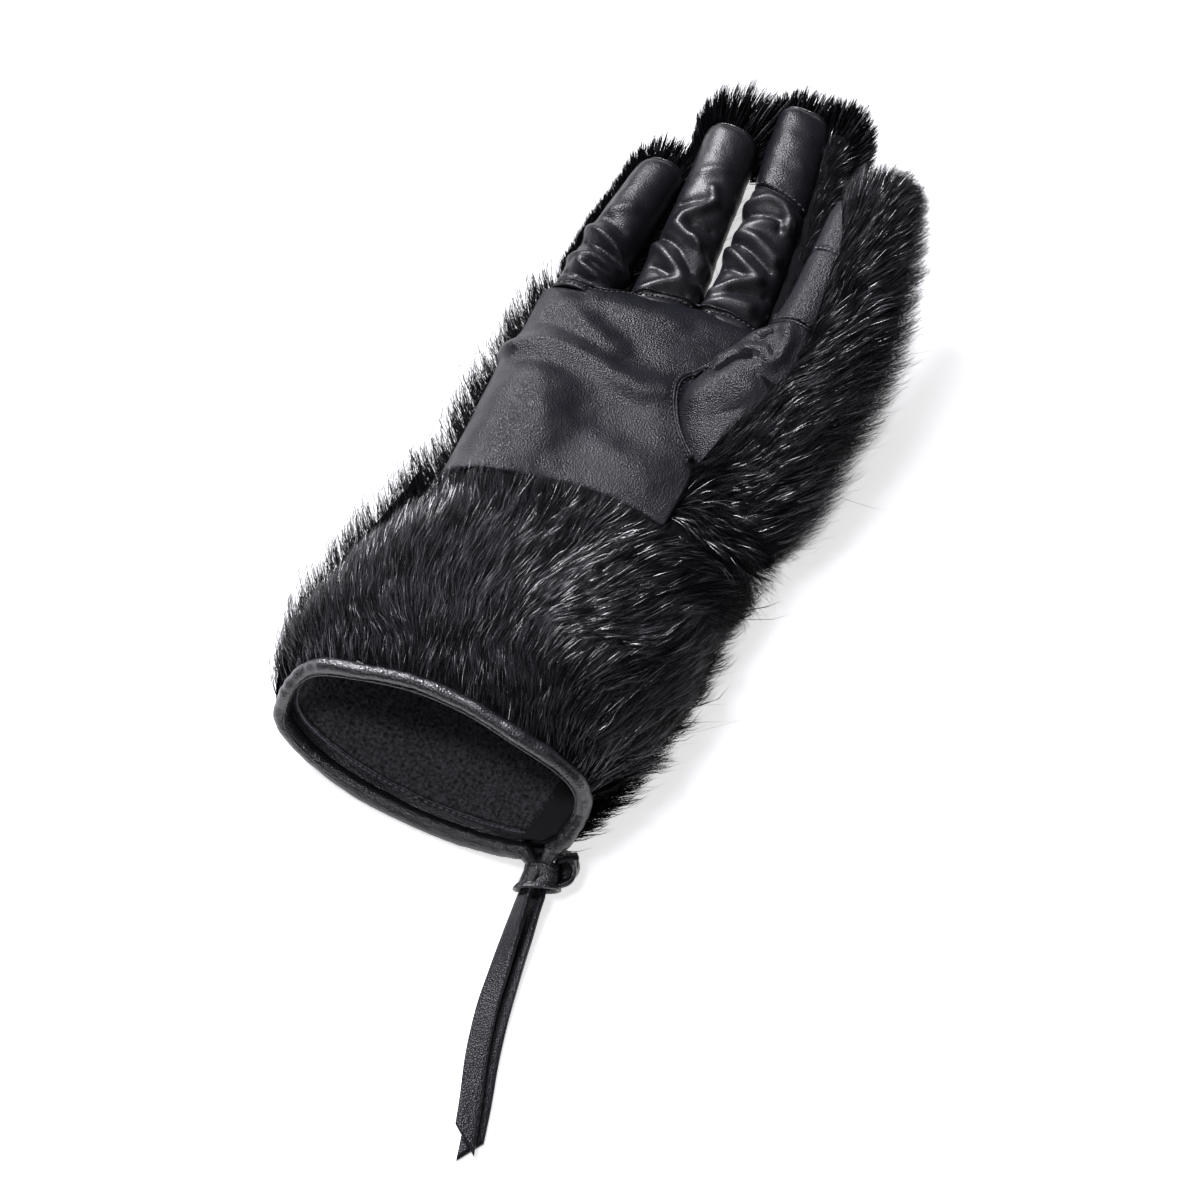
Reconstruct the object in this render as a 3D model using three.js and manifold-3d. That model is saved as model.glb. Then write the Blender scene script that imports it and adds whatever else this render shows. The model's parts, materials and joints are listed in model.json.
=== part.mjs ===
// A right-hand gauntlet glove that lies palm up: black leather in front, long-haired
// horsehide behind and on the cuff, with a zipped side slit and a knotted leather thong.
// Millimetres. +Y runs from the cuff mouth to the fingertips, +X to the thumb, +Z up.

import * as THREE from 'three';
import { mergeVertices } from 'three/addons/utils/BufferGeometryUtils.js';
import Module from 'manifold-3d';

const wasm = await Module();
wasm.setup();

// Skins, seams and hair
const LEATHER = 1.7;
const HIDE = 2.2;
const SEAM_GAP = 0.3;
const KNIT = 1.2;
const FINGER_PILE = { side: 2.6, under: 7, tip: 14 };
const HAIR_LEAN = 0.45;
const BORDER_RAMP = 8;

// Depth of the hair along the hand and cuff, on the little-finger side, the thumb side and in front
const BODY_PILE = [
  { y: -88, left: 3, right: 3, front: 2.5 },
  { y: -66, left: 13, right: 8, front: 4.5 },
  { y: -20, left: 17, right: 9, front: 5 },
  { y: 20, left: 18, right: 10, front: 5 },
  { y: 60, left: 17, right: 9, front: 4 },
  { y: 100, left: 12, right: 5, front: 3 },
  { y: 135, left: 7, right: 4, front: 3 },
];
const THUMB_PILE = [
  { y: 48, outer: 15, front: 4 },
  { y: 80, outer: 20, front: 6 },
  { y: 140, outer: 20, front: 6 },
  { y: 178, outer: 12, front: 5 },
  { y: 200, outer: 6, front: 5 },
  { y: 222, outer: 5, front: 5 },
];

// Cuff mouth, its binding and the zipped slit
const MOUTH_Y = -87.3;
const MOUTH = [
  { angle: -90, y: -102.5 },
  { angle: -60, y: -100 },
  { angle: -36, y: -97 },
  { angle: -18, y: -91 },
  { angle: 0, y: -80.5 },
  { angle: 22, y: -77 },
  { angle: 60, y: -76.5 },
  { angle: 90, y: -74.5 },
  { angle: 122, y: -79 },
  { angle: 150, y: -82 },
  { angle: 170, y: -88.5 },
  { angle: 190, y: -94.5 },
  { angle: 220, y: -98.5 },
  { angle: 250, y: -101.5 },
  { angle: 270, y: -102.5 },
];
const BINDING = { along: 3.1, thick: 2.7, gap: 0.7 };
const mouthEdge = MOUTH_Y + BINDING.along + BINDING.gap;
const SLIT = { angle: -36, halfWidth: 4.8, endY: 2 };
const GUSSET = { halfWidth: 8, endY: -40 };

// Rows of the inner surfaces along the cuff and hand; the lining uses the ones in the cuff
const LINING_ROWS = [-78, -60, -40, -20, 0, 26];
const HAND_ROWS = [50, 75, 100, 120, 133, 140];

// Slider of the zipper, seen from outside, as [across, along]
const SLIDER = {
  thick: 2.4,
  outline: [[-3.8, -3.5], [3.8, -3.5], [4.2, 1], [1.8, 3], [1.6, 4], [-1.6, 4], [-1.8, 3], [-4.2, 1]],
};

// Thong: centre lines of its two ends; `tilt` turns the strap on edge, in degrees
const THONG = { width: 8.5, thick: 1.8, chamfer: 0.5 };
const TAIL_FRONT = {
  cut: 5.6,
  rows: [
    { x: 26.0, y: -112.2, z: 6.4, tilt: 55 },
    { x: 27.1, y: -118.5, z: 5.9, tilt: 49 },
    { x: 28.5, y: -126.5, z: 5.4, tilt: 42 },
    { x: 30.0, y: -135, z: 4.8, tilt: 35 },
    { x: 31.8, y: -144.7, z: 4.3, tilt: 27 },
    { x: 34.5, y: -158.4, z: 3.7, tilt: 16 },
    { x: 39.5, y: -175.5, z: 3.3, tilt: 6 },
    { x: 45.7, y: -191.6, z: 3.1, tilt: 1 },
    { x: 50.8, y: -206, z: 3.1, tilt: 0 },
  ],
};
const TAIL_REAR = {
  cut: -4,
  rows: [
    { x: 30.4, y: -110.6, z: 4.9, tilt: 50 },
    { x: 31.2, y: -118, z: 4.2, tilt: 40 },
    { x: 32.7, y: -127, z: 3.3, tilt: 28 },
    { x: 34.2, y: -136, z: 2.6, tilt: 19 },
    { x: 36.2, y: -146, z: 2.0, tilt: 12 },
    { x: 39.3, y: -160, z: 1.4, tilt: 5 },
    { x: 43.8, y: -176, z: 1.0, tilt: 0 },
    { x: 48.9, y: -191, z: 0.9, tilt: 0 },
    { x: 54.2, y: -208.4, z: 0.9, tilt: 0 },
  ],
};

// Knot of the thong: half width and half thickness along its length, from the slider down
const KNOT = {
  centre: [28.3, -105.2, 6.0],
  down: [0.37, -0.9, -0.22],
  across: [0.91, 0.42, 0],
  rows: [
    { along: -4.4, half: 4.6, tall: 2.6 },
    { along: -3.6, half: 6.2, tall: 3.8 },
    { along: -0.8, half: 7.0, tall: 4.5 },
    { along: 2.0, half: 6.6, tall: 4.1 },
    { along: 3.2, half: 7.7, tall: 4.6 },
    { along: 4.4, half: 6.9, tall: 4.0 },
  ],
  loop: [
    [33, -104.5, 5.5], [37.2, -101.5, 5.2], [38.4, -97.6, 5.8],
    [36, -94.6, 6.8], [31.5, -97.4, 6.8], [28.5, -100.5, 6.5],
  ],
};

// Height of the side seams, where leather meets hide, along the glove
const SIDE_SEAM = [
  { y: -140, z: 28 },
  { y: -40, z: 25 },
  { y: 35, z: 20 },
  { y: 140, z: 18 },
  { y: 200, z: 23 },
  { y: 275, z: 29 },
];

// Sections of the hide or leather skin: centre x, half width, and rise above and below the seam
const BODY = {
  boxy: 2.35,
  end: 145,
  round: 14,
  rows: [
    { y: -140, x: -26.5, half: 61.5, up: 30, down: 24.5 },
    { y: -87, x: -26.5, half: 61.5, up: 30.5, down: 24.0 },
    { y: -60, x: -24.5, half: 63.0, up: 30.5, down: 23.0 },
    { y: -30, x: -21.5, half: 62.5, up: 28.5, down: 22.0 },
    { y: 5, x: -20.0, half: 59.0, up: 25.0, down: 19.0 },
    { y: 35, x: -18.0, half: 60.0, up: 22.5, down: 17.5 },
    { y: 65, x: -19.0, half: 62.5, up: 21.5, down: 16.5 },
    { y: 100, x: -27.5, half: 58.0, up: 18.5, down: 15.5 },
    { y: 130, x: -32.5, half: 56.5, up: 14.0, down: 13.5 },
    { y: 150, x: -34.0, half: 54.5, up: 11.0, down: 12.0 },
  ],
};
const FINGERS = {
  pinky: {
    boxy: 2.2, end: 195, round: 15, baseY: 116,
    rows: [
      { y: 116, x: -72.5, half: 13.5, up: 11.5, down: 9.5 },
      { y: 160, x: -72.5, half: 12.5, up: 11.5, down: 9.0 },
      { y: 195, x: -71.5, half: 12.0, up: 11.0, down: 8.5 },
    ],
  },
  ring: {
    boxy: 2.2, end: 229, round: 15, baseY: 116,
    rows: [
      { y: 116, x: -40.5, half: 14.5, up: 12.0, down: 9.5 },
      { y: 160, x: -45.5, half: 12.0, up: 12.0, down: 9.0 },
      { y: 200, x: -50.0, half: 11.3, up: 11.5, down: 9.0 },
      { y: 229, x: -53.5, half: 12.0, up: 11.0, down: 8.5 },
    ],
  },
  middle: {
    boxy: 2.2, end: 247, round: 15, baseY: 116,
    rows: [
      { y: 116, x: -10.0, half: 14.0, up: 12.0, down: 9.5 },
      { y: 160, x: -13.5, half: 12.6, up: 12.0, down: 9.0 },
      { y: 205, x: -20.5, half: 12.4, up: 12.0, down: 9.0 },
      { y: 247, x: -29.5, half: 12.0, up: 11.0, down: 8.5 },
    ],
  },
  index: {
    boxy: 2.1, end: 246, round: 15, baseY: 116,
    rows: [
      { y: 116, x: 14.0, half: 11.5, up: 10.5, down: 9.5 },
      { y: 160, x: 8.5, half: 10.5, up: 9.0, down: 9.0 },
      { y: 205, x: -2.0, half: 9.5, up: 8.0, down: 8.5 },
      { y: 246, x: -13.0, half: 9.5, up: 7.0, down: 8.0 },
    ],
  },
};

// The thumb has its own centre height, because it lies across the index finger
const THUMB = {
  boxy: 2.1, end: 219, round: 18, baseY: 48,
  rows: [
    { y: 48, x: 25.0, z: 21, half: 17.0, up: 13.0, down: 12.0 },
    { y: 70, x: 20.0, z: 27, half: 25.0, up: 17.0, down: 16.0 },
    { y: 90, x: 15.0, z: 32, half: 28.0, up: 16.0, down: 17.0 },
    { y: 112, x: 19.0, z: 38, half: 25.5, up: 14.5, down: 15.0 },
    { y: 135, x: 25.0, z: 43, half: 18.5, up: 12.5, down: 12.5 },
    { y: 165, x: 25.0, z: 46, half: 16.5, up: 12.0, down: 11.5 },
    { y: 200, x: 24.0, z: 48, half: 16.0, up: 11.0, down: 10.5 },
    { y: 222, x: 24.0, z: 49, half: 14.5, up: 10.0, down: 9.5 },
  ],
};

// Pattern lines seen from above, as [x, y]
const FAR_LEFT = -140;
const FAR_RIGHT = 110;
const ARCH = [[-84, 21], [-71, 23], [-56, 27.5], [-42, 32], [-27, 35], [-10, 36], [10, 34]];
const WRIST_RIGHT = [[27, 33], [38, 30], [46, 26]];
const PALM_RIGHT = [[8, 66], [13, 90], [20, 116], [27, 138]];
const FINGER_BASE = [[8, 142], [-7, 142.5], [-26, 141.5], [-46, 137], [-59, 135], [-88, 129]];
const CROTCHES = [[-58.5, 135], [-26, 141.5], [0.5, 142.25]];
const BETWEEN_TIPS = [[-63, 250], [-42.5, 275], [-17, 280]];
const MIDDLE_TIP_SEAM = [[-36, 202], [-22, 204], [-3, 200]];
const INDEX_LEATHER_EDGE = [[32, 141], [16, 160], [4, 185], [-2.5, 202], [-8.8, 216]];
const THUMB_FUR_LINE = [
  [8, 66], [13, 80], [18, 92], [24, 108], [25.5, 124], [24.5, 140], [21.5, 160], [19, 176], [9.5, 200],
];
const THUMB_RING_1 = [[-30, 134], [60, 134]];
const THUMB_RING_2 = [[-30, 168], [60, 178]];

const radians = THREE.MathUtils.degToRad;
const clamp = THREE.MathUtils.clamp;
const ramp = (value, low, high) => THREE.MathUtils.smoothstep(value, low, high);

// Straight interpolation of one column of a table
function straight(rows, column, y) {
  const last = rows.length - 1;
  if (y <= rows[0].y) return rows[0][column];
  if (y >= rows[last].y) return rows[last][column];
  const i = rows.findIndex((row) => row.y > y) - 1;
  const t = (y - rows[i].y) / (rows[i + 1].y - rows[i].y);
  return THREE.MathUtils.lerp(rows[i][column], rows[i + 1][column], t);
}

// Smooth interpolation of one column, through every row, along the column named by `along`
function smooth(rows, column, place, along = 'y') {
  const last = rows.length - 1;
  const at = clamp(place, rows[0][along], rows[last][along]);
  const above = rows.findIndex((row) => row[along] > at);
  const low = above < 0 ? last - 1 : Math.max(above - 1, 0);
  const a = rows[low];
  const b = rows[low + 1];
  const slopeAt = (k) => {
    const before = rows[Math.max(k - 1, 0)];
    const after = rows[Math.min(k + 1, last)];
    return (after[column] - before[column]) / (after[along] - before[along]);
  };
  const span = b[along] - a[along];
  const t = (at - a[along]) / span;
  const t2 = t * t;
  const t3 = t2 * t;
  return (2 * t3 - 3 * t2 + 1) * a[column] + (t3 - 2 * t2 + t) * span * slopeAt(low)
    + (3 * t2 - 2 * t3) * b[column] + (t3 - t2) * span * slopeAt(low + 1);
}

// The mouth isn't square to the cuff: its upper lip is set back from the lower one
function mouthShift(angle) {
  const degrees = THREE.MathUtils.euclideanModulo(THREE.MathUtils.radToDeg(angle) + 90, 360) - 90;
  return smooth(MOUTH, 'y', degrees, 'angle') - MOUTH_Y;
}

function bodySlant(y, x, angle) {
  const atMouth = 1 - ramp(y, MOUTH_Y, -5);
  const atKnuckles = ramp(y, 95, 145);
  return atMouth * mouthShift(angle) + atKnuckles * 0.16 * (x + 32);
}

const power = (value, boxy) => Math.sign(value) * Math.abs(value) ** (2 / boxy);

// A point of a limb's skin, `inset` under its surface, with the direction that faces out
function skinPoint(limb, y, angle, inset = 0) {
  const endY = limb.end - inset;
  const roundStart = limb.end - limb.round;
  const past = clamp((y - roundStart) / (endY - roundStart), 0, 1);
  const shrink = Math.sqrt(1 - past * past);
  const half = (smooth(limb.rows, 'half', y) - inset) * shrink;
  const rise = Math.sin(angle) >= 0 ? 'up' : 'down';
  const tall = (smooth(limb.rows, rise, y) - inset) * shrink;
  const centreZ = 'z' in limb.rows[0] ? smooth(limb.rows, 'z', y) : straight(SIDE_SEAM, 'z', y);
  const x = smooth(limb.rows, 'x', y) + half * power(Math.cos(angle), limb.boxy);
  const z = centreZ + tall * power(Math.sin(angle), limb.boxy);
  const slant = limb === BODY ? bodySlant(y, x, angle) : 0;
  const facing = new THREE.Vector3(
    Math.cos(angle) * (tall + 1), past * past * 40, Math.sin(angle) * (half + 1)
  ).normalize();
  return { place: new THREE.Vector3(x, y + slant, z), facing, past };
}

// Signed distance from a point to a closed outline, positive outside
function distanceOutside(outline, x, y) {
  let inside = false;
  let nearest = Infinity;
  outline.forEach(([ax, ay], i) => {
    const [bx, by] = outline[(i + 1) % outline.length];
    const t = clamp(((x - ax) * (bx - ax) + (y - ay) * (by - ay)) / ((bx - ax) ** 2 + (by - ay) ** 2), 0, 1);
    nearest = Math.min(nearest, Math.hypot(x - ax - t * (bx - ax), y - ay - t * (by - ay)));
    if ((ay > y) !== (by > y) && x < ax + (bx - ax) * (y - ay) / (by - ay)) inside = !inside;
  });
  return inside ? -nearest : nearest;
}

// A steady number from 0 to 1 for each lock of hair
function lockChance(i, j) {
  const wave = Math.sin(i * 12.9898 + j * 78.233) * 43758.5453;
  return wave - Math.floor(wave);
}

// A closed body from rings of equal length, each end closed by a fan round its middle
function ringsToGeometry(rings, splitByHeight) {
  const count = rings[0].length;
  const points = rings.flat();
  const centre = (ring) => ring.reduce((sum, p) => sum.add(p), new THREE.Vector3()).divideScalar(count);
  const first = points.length;
  points.push(centre(rings[0]), centre(rings[rings.length - 1]));
  const index = [];
  for (let i = 0; i + 1 < rings.length; i += 1) {
    for (let j = 0; j < count; j += 1) {
      const k = (j + 1) % count;
      const [a, b, c, d] = [i * count + j, i * count + k, (i + 1) * count + k, (i + 1) * count + j];
      if (splitByHeight && (i + j) % 2 === 0) index.push(a, b, d, b, c, d);
      else index.push(a, b, c, a, c, d);
    }
  }
  const lastRing = (rings.length - 1) * count;
  for (let j = 0; j < count; j += 1) {
    const k = (j + 1) % count;
    index.push(first, k, j, first + 1, lastRing + j, lastRing + k);
  }
  const geometry = new THREE.BufferGeometry();
  geometry.setAttribute('position', new THREE.Float32BufferAttribute(points.flatMap((p) => p.toArray()), 3));
  geometry.setIndex(index);
  return geometry;
}

function toSolid(geometry) {
  const plain = geometry.clone();
  plain.deleteAttribute('normal');
  plain.deleteAttribute('uv');
  const merged = mergeVertices(plain, 1e-4);
  const corners = Array.from(merged.index.array);
  const triangles = [];
  for (let i = 0; i < corners.length; i += 3) {
    const [a, b, c] = corners.slice(i, i + 3);
    if (a !== b && b !== c && c !== a) triangles.push(a, b, c);
  }
  return new wasm.Manifold(new wasm.Mesh({
    numProp: 3,
    vertProperties: new Float32Array(merged.attributes.position.array),
    triVerts: new Uint32Array(triangles),
  }));
}

function toGeometry(solid) {
  const mesh = solid.getMesh();
  const geometry = new THREE.BufferGeometry();
  geometry.setAttribute('position', new THREE.Float32BufferAttribute(mesh.vertProperties, 3));
  geometry.setIndex(Array.from(mesh.triVerts));
  geometry.computeVertexNormals();
  return geometry;
}

// Rows along a limb: even steps from its base, then two closing steps over its rounded end
function rowsTo(limb, from, steps, inset = 0) {
  const roundStart = limb.end - limb.round;
  const even = Array.from({ length: steps + 1 }, (_, i) => from + (roundStart - from) * i / steps);
  const closing = [Math.SQRT1_2, 1].map((share) => roundStart + (limb.round - inset) * share);
  return [...even, ...closing];
}

// A smooth closed body through the given rows, `inset` under the skin
function smoothBody(limb, rows, inset, around) {
  const rings = rows.map((y) => (
    Array.from({ length: around }, (_, j) => skinPoint(limb, y, -j / around * 2 * Math.PI, inset).place)
  ));
  return toSolid(ringsToGeometry(rings, false));
}

// The same body with locks of hair, folds and flattening from `dress`, and `spare` larger all round
function dressedBody(limb, rows, angles, dress, spare = 0) {
  const rings = rows.map((y, i) => (
    angles.map((degrees, j) => {
      const point = skinPoint(limb, y, radians(degrees));
      return dress(point, i, j, y, degrees).addScaledVector(point.facing, spare);
    })
  ));
  const wellInside = 2 * HIDE;
  const squareStart = angles.map((degrees) => skinPoint(limb, rows[0], radians(degrees), wellInside).place);
  return toSolid(ringsToGeometry([squareStart, ...rings], true));
}

// Hair stands off the skin in pointed locks that lean towards the fingertips
function raiseLock(point, i, j, pile, lean = HAIR_LEAN) {
  const lock = (i + j) % 2 === 0 ? 0.95 + 0.2 * lockChance(i, j) : 0.5 + 0.15 * lockChance(i, j);
  const height = pile * (point.past === 1 ? 0.85 : lock);
  point.place.addScaledVector(point.facing, height);
  point.place.y += height * lean;
  point.place.z = Math.max(point.place.z, 0);
  return point.place;
}

// The hand under the thumb has no long hair
const UNDER_THUMB = [[26, 40], [30, 56], [44, 70], [50, 90], [50, 240], [-20, 240], [-20, 60]];
const palmOutline = [[FAR_LEFT, 12], ...ARCH, ...PALM_RIGHT, ...FINGER_BASE, [FAR_LEFT, 121]];
const BEYOND_MOUTH = [[FAR_RIGHT, -150], [FAR_LEFT, -150]];
const cuffOutline = [[FAR_LEFT, 12], ...ARCH, ...WRIST_RIGHT, [FAR_RIGHT, 16], ...BEYOND_MOUTH];
const indexLeatherOutline = [CROTCHES[2], ...[...INDEX_LEATHER_EDGE].reverse()];
const thumbOutline = [[-60, 40], ...THUMB_FUR_LINE, [-60, 206]];

// Hair of the cuff and the hand; the palm is bare leather, and the underside is pressed flat
function dressBody(point, i, j, y, degrees) {
  const { x, z } = point.place;
  const above = Math.sin(radians(degrees));
  const sideways = Math.cos(radians(degrees));
  if (above < -0.55) {
    point.place.z = 0;
    return point.place;
  }
  const inCuff = ramp(-distanceOutside(cuffOutline, x, point.place.y), -2, 6);
  const side = straight(BODY_PILE, sideways > 0 ? 'right' : 'left', y);
  const open = ramp(distanceOutside(UNDER_THUMB, x, point.place.y), 0, 4);
  const pile = THREE.MathUtils.lerp(straight(BODY_PILE, 'front', y), side, sideways ** 4);
  const bare = above > -0.02 ? ramp(distanceOutside(palmOutline, x, point.place.y), 0, BORDER_RAMP) : 1;
  if (inCuff === 0 && bare === 0) {
    point.place.z += 1.2 * Math.sin((x + 0.7 * y) / 11) * ramp(z, 28, 38) * ramp(y, 95, 120);
    return point.place;
  }
  const lean = (inCuff > 0.5 ? -HAIR_LEAN : HAIR_LEAN) * ramp(y, mouthEdge, mouthEdge + 15);
  const depth = above > -0.3 ? pile * open : pile;
  return raiseLock(point, i, j, depth * Math.max(inCuff, bare), lean);
}

// Leather fronts are gathered across the knuckles; the hide behind carries hair
function dressFinger(limb) {
  return (point, i, j, y, degrees) => {
    const above = Math.sin(radians(degrees));
    const { place } = point;
    const bare = limb !== FINGERS.index || distanceOutside(indexLeatherOutline, place.x, place.y) < 0;
    if (above > -0.02 && bare) {
      const gathered = ramp(y, 140, 150) * (1 - ramp(y, limb.end - 50, limb.end - 38));
      const fold = 1.1 * gathered * above * Math.sin((y + 5 * Math.cos(radians(degrees))) / 2.6);
      return point.place.addScaledVector(point.facing, fold);
    }
    const nearTip = ramp(y, limb.end - 14, limb.end);
    const along = THREE.MathUtils.lerp(FINGER_PILE.side, FINGER_PILE.under, -above);
    return raiseLock(point, i, j, THREE.MathUtils.lerp(along, FINGER_PILE.tip, nearTip));
  };
}

// The thumb's leather is on its near side; long hair stands off the back of it
function dressThumb(point, i, j, y, degrees) {
  const outward = clamp(Math.cos(radians(degrees)), 0, 1);
  const outside = distanceOutside(thumbOutline, point.place.x, point.place.y);
  const onTop = Math.sin(radians(degrees)) > -0.3;
  if (onTop && outside < 0) return point.place;
  const [front, outer] = ['front', 'outer'].map((column) => straight(THUMB_PILE, column, y));
  const pile = THREE.MathUtils.lerp(front, outer, outward ** 2);
  return raiseLock(point, i, j, pile * (onTop ? ramp(outside, 0, BORDER_RAMP) : 0.4));
}

const evenAngles = (count) => Array.from({ length: count }, (_, j) => -j / count * 360);
const BODY_ANGLES = [
  0, -14, -28, -44, -62, -90, -118, -133, -146, -158, -170,
  -180, -194, -208, -222, -236, -250, -264, -278, -292, -306, -320, -334, -347,
];
const FINGER_ANGLES = [-5, -48, -90, -132, -175, -180, -216, -252, -288, -324, -360];
const AROUND_INSIDE = 20;
const FINGER_STEP = 6.7;
const SMALL_SEAT = 0.5;
const bodyRows = rowsTo(BODY, mouthEdge, 20);
const bodyOuter = dressedBody(BODY, bodyRows, BODY_ANGLES, dressBody);
const bodyInnerRows = [-120, mouthEdge, ...LINING_ROWS, ...HAND_ROWS, BODY.end - HIDE];
const bodyInner = smoothBody(BODY, bodyInnerRows, HIDE, AROUND_INSIDE);
const fingerOuters = Object.values(FINGERS).map((limb) => {
  const rows = rowsTo(limb, limb.baseY, Math.round((limb.end - limb.round - limb.baseY) / FINGER_STEP));
  const outer = dressedBody(limb, rows, FINGER_ANGLES, dressFinger(limb));
  const seat = dressedBody(limb, rows, FINGER_ANGLES, dressFinger(limb), SMALL_SEAT);
  const inner = smoothBody(limb, rowsTo(limb, limb.baseY - 4, 4, LEATHER), LEATHER, 8);
  return { outer, seat, inner };
});
const joined = (solids) => solids.reduce((sum, solid) => sum.add(solid));
const thumbOuter = dressedBody(THUMB, rowsTo(THUMB, THUMB.baseY, 13), evenAngles(16), dressThumb);
const thumbInner = smoothBody(THUMB, rowsTo(THUMB, THUMB.baseY - 2, 7, HIDE), HIDE, 10);

const handOuter = joined([bodyOuter, ...fingerOuters.map(({ outer }) => outer)]);
const handInner = joined([bodyInner, ...fingerOuters.map(({ inner }) => inner)]);
const handSkin = handOuter.subtract(handInner).subtract(thumbInner);

// The hand a little larger, as the seat that the thumb lies on
const bodySeat = dressedBody(BODY, bodyRows, BODY_ANGLES, dressBody, SMALL_SEAT);
const handSeat = joined([bodySeat, ...fingerOuters.map(({ seat }) => seat)]);

// The same outline moved outwards, or inwards where `by` is negative
function movedOutline(outline, by) {
  const area = outline.reduce((sum, [x, y], i) => {
    const [nx, ny] = outline[(i + 1) % outline.length];
    return sum + x * ny - nx * y;
  }, 0);
  const turn = Math.sign(area);
  return outline.map(([x, y], i) => {
    const before = outline[(i + outline.length - 1) % outline.length];
    const after = outline[(i + 1) % outline.length];
    const normalOf = ([ax, ay], [bx, by2]) => {
      const length = Math.hypot(bx - ax, by2 - ay);
      return new THREE.Vector2(turn * (by2 - ay) / length, -turn * (bx - ax) / length);
    };
    const n1 = normalOf(before, [x, y]);
    const n2 = normalOf([x, y], after);
    const middle = n1.clone().add(n2).normalize();
    const reach = by / Math.max(middle.dot(n1), 0.5);
    return [x + middle.x * reach, y + middle.y * reach];
  });
}

function extruded(outline, depth) {
  const shape = new THREE.Shape(outline.map(([x, y]) => new THREE.Vector2(x, y)));
  return new THREE.ExtrudeGeometry(shape, { depth, bevelEnabled: false });
}

// A tall cutter over an outline seen from above
function cutterOver(outline, growth, low = -10, high = 120) {
  return toSolid(extruded(movedOutline(outline, growth), high - low).translate(0, 0, low));
}

// Everything above the side seams, raised by `lift`
function aboveSeams(lift) {
  const edge = SIDE_SEAM.map(({ y, z }) => [y, z + lift]);
  const last = SIDE_SEAM[SIDE_SEAM.length - 1].y;
  const outline = [...edge, [last + 60, edge[edge.length - 1][1]], [last + 60, 140], [SIDE_SEAM[0].y, 140]];
  const toYZ = new THREE.Matrix4().makeBasis(
    new THREE.Vector3(0, 1, 0), new THREE.Vector3(0, 0, 1), new THREE.Vector3(1, 0, 0)
  );
  return toSolid(extruded(outline, 400).applyMatrix4(toYZ).translate(-220, 0, 0));
}

const front = aboveSeams(SEAM_GAP / 2);
const frontWide = aboveSeams(-SEAM_GAP / 2);

// Each finger's share of the plan, from its base seam to beyond its tip
function fingerOutline(k) {
  if (k === 3) return indexLeatherOutline;
  const leftBase = k === 0 ? [FAR_LEFT, 121] : CROTCHES[k - 1];
  const leftTip = k === 0 ? [FAR_LEFT, 300] : BETWEEN_TIPS[k - 1];
  const rightBase = CROTCHES[k];
  const rightTip = BETWEEN_TIPS[k];
  const onBase = FINGER_BASE.filter(([x]) => x > leftBase[0] + 1 && x < rightBase[0] - 1);
  return [leftBase, leftTip, rightTip, rightBase, ...onBase];
}

// The back of the hand ends, and the finger backs begin, on one line across the knuckles
const KNUCKLE_LINE = [[FAR_LEFT, 121], [60, 141]];
function fingerBackOutline(k) {
  const [start, end] = KNUCKLE_LINE;
  const edges = [[FAR_LEFT, 121], ...CROTCHES, [60, 141]];
  const tips = [[FAR_LEFT, 300], ...BETWEEN_TIPS, [60, 300]];
  const onLine = ([x]) => [x, THREE.MathUtils.mapLinear(x, start[0], end[0], start[1], end[1])];
  return [onLine(edges[k]), tips[k], tips[k + 1], onLine(edges[k + 1])];
}

const glove = new THREE.Group();
const leatherBlack = { color: 0x1b1b20, roughness: 0.5, metalness: 0 };
const shinyLeather = { color: 0x131316, roughness: 0.34, metalness: 0 };
const hairBlack = { color: 0x0b0b0d, roughness: 0.6, metalness: 0 };
const knitBlack = { color: 0x0d0d0e, roughness: 0.95, metalness: 0 };
const zipTapeBlack = { color: 0x101012, roughness: 0.8, metalness: 0 };
const zipMetal = { color: 0x5a5a5e, roughness: 0.35, metalness: 0.9 };

// Adds a piece; a cut may leave crumbs of hair beside the panel, and they are dropped
function addPiece(name, solid, finish) {
  const bodies = solid.decompose();
  const main = bodies.reduce((best, body) => (body.volume() > best.volume() ? body : best));
  const mesh = new THREE.Mesh(toGeometry(main), new THREE.MeshStandardMaterial(finish));
  mesh.name = name;
  glove.add(mesh);
  return main;
}

// A closed panel between two matching grids of points, the first one outside
function panelBetween(outerGrid, innerGrid) {
  const rows = outerGrid.length;
  const columns = outerGrid[0].length;
  const rings = outerGrid.map((row, i) => [...row, ...[...innerGrid[i]].reverse()]);
  const count = 2 * columns;
  const index = [];
  for (let i = 0; i + 1 < rows; i += 1) {
    for (let j = 0; j < count; j += 1) {
      const k = (j + 1) % count;
      const [a, b, c, d] = [i * count + j, i * count + k, (i + 1) * count + k, (i + 1) * count + j];
      index.push(a, b, c, a, c, d);
    }
  }
  const lastRing = (rows - 1) * count;
  for (let j = 0; j + 1 < columns; j += 1) {
    const [a, b, c, d] = [j, j + 1, count - 2 - j, count - 1 - j];
    index.push(a, c, b, a, d, c);
    index.push(lastRing + a, lastRing + b, lastRing + c, lastRing + a, lastRing + c, lastRing + d);
  }
  const geometry = new THREE.BufferGeometry();
  const places = rings.flat().flatMap((p) => p.toArray());
  geometry.setAttribute('position', new THREE.Float32BufferAttribute(places, 3));
  geometry.setIndex(index);
  return toSolid(geometry);
}

// A place on the facets of the inner surfaces, `across` the middle of the slit
const facetAngle = radians(360 / AROUND_INSIDE);
function besideSlit(y, across, inset) {
  const middle = skinPoint(BODY, y, radians(SLIT.angle), inset).place;
  const next = skinPoint(BODY, y, radians(SLIT.angle) + Math.sign(across) * facetAngle, inset).place;
  return across === 0 ? middle : middle.clone().lerp(next, Math.abs(across) / middle.distanceTo(next));
}

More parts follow.
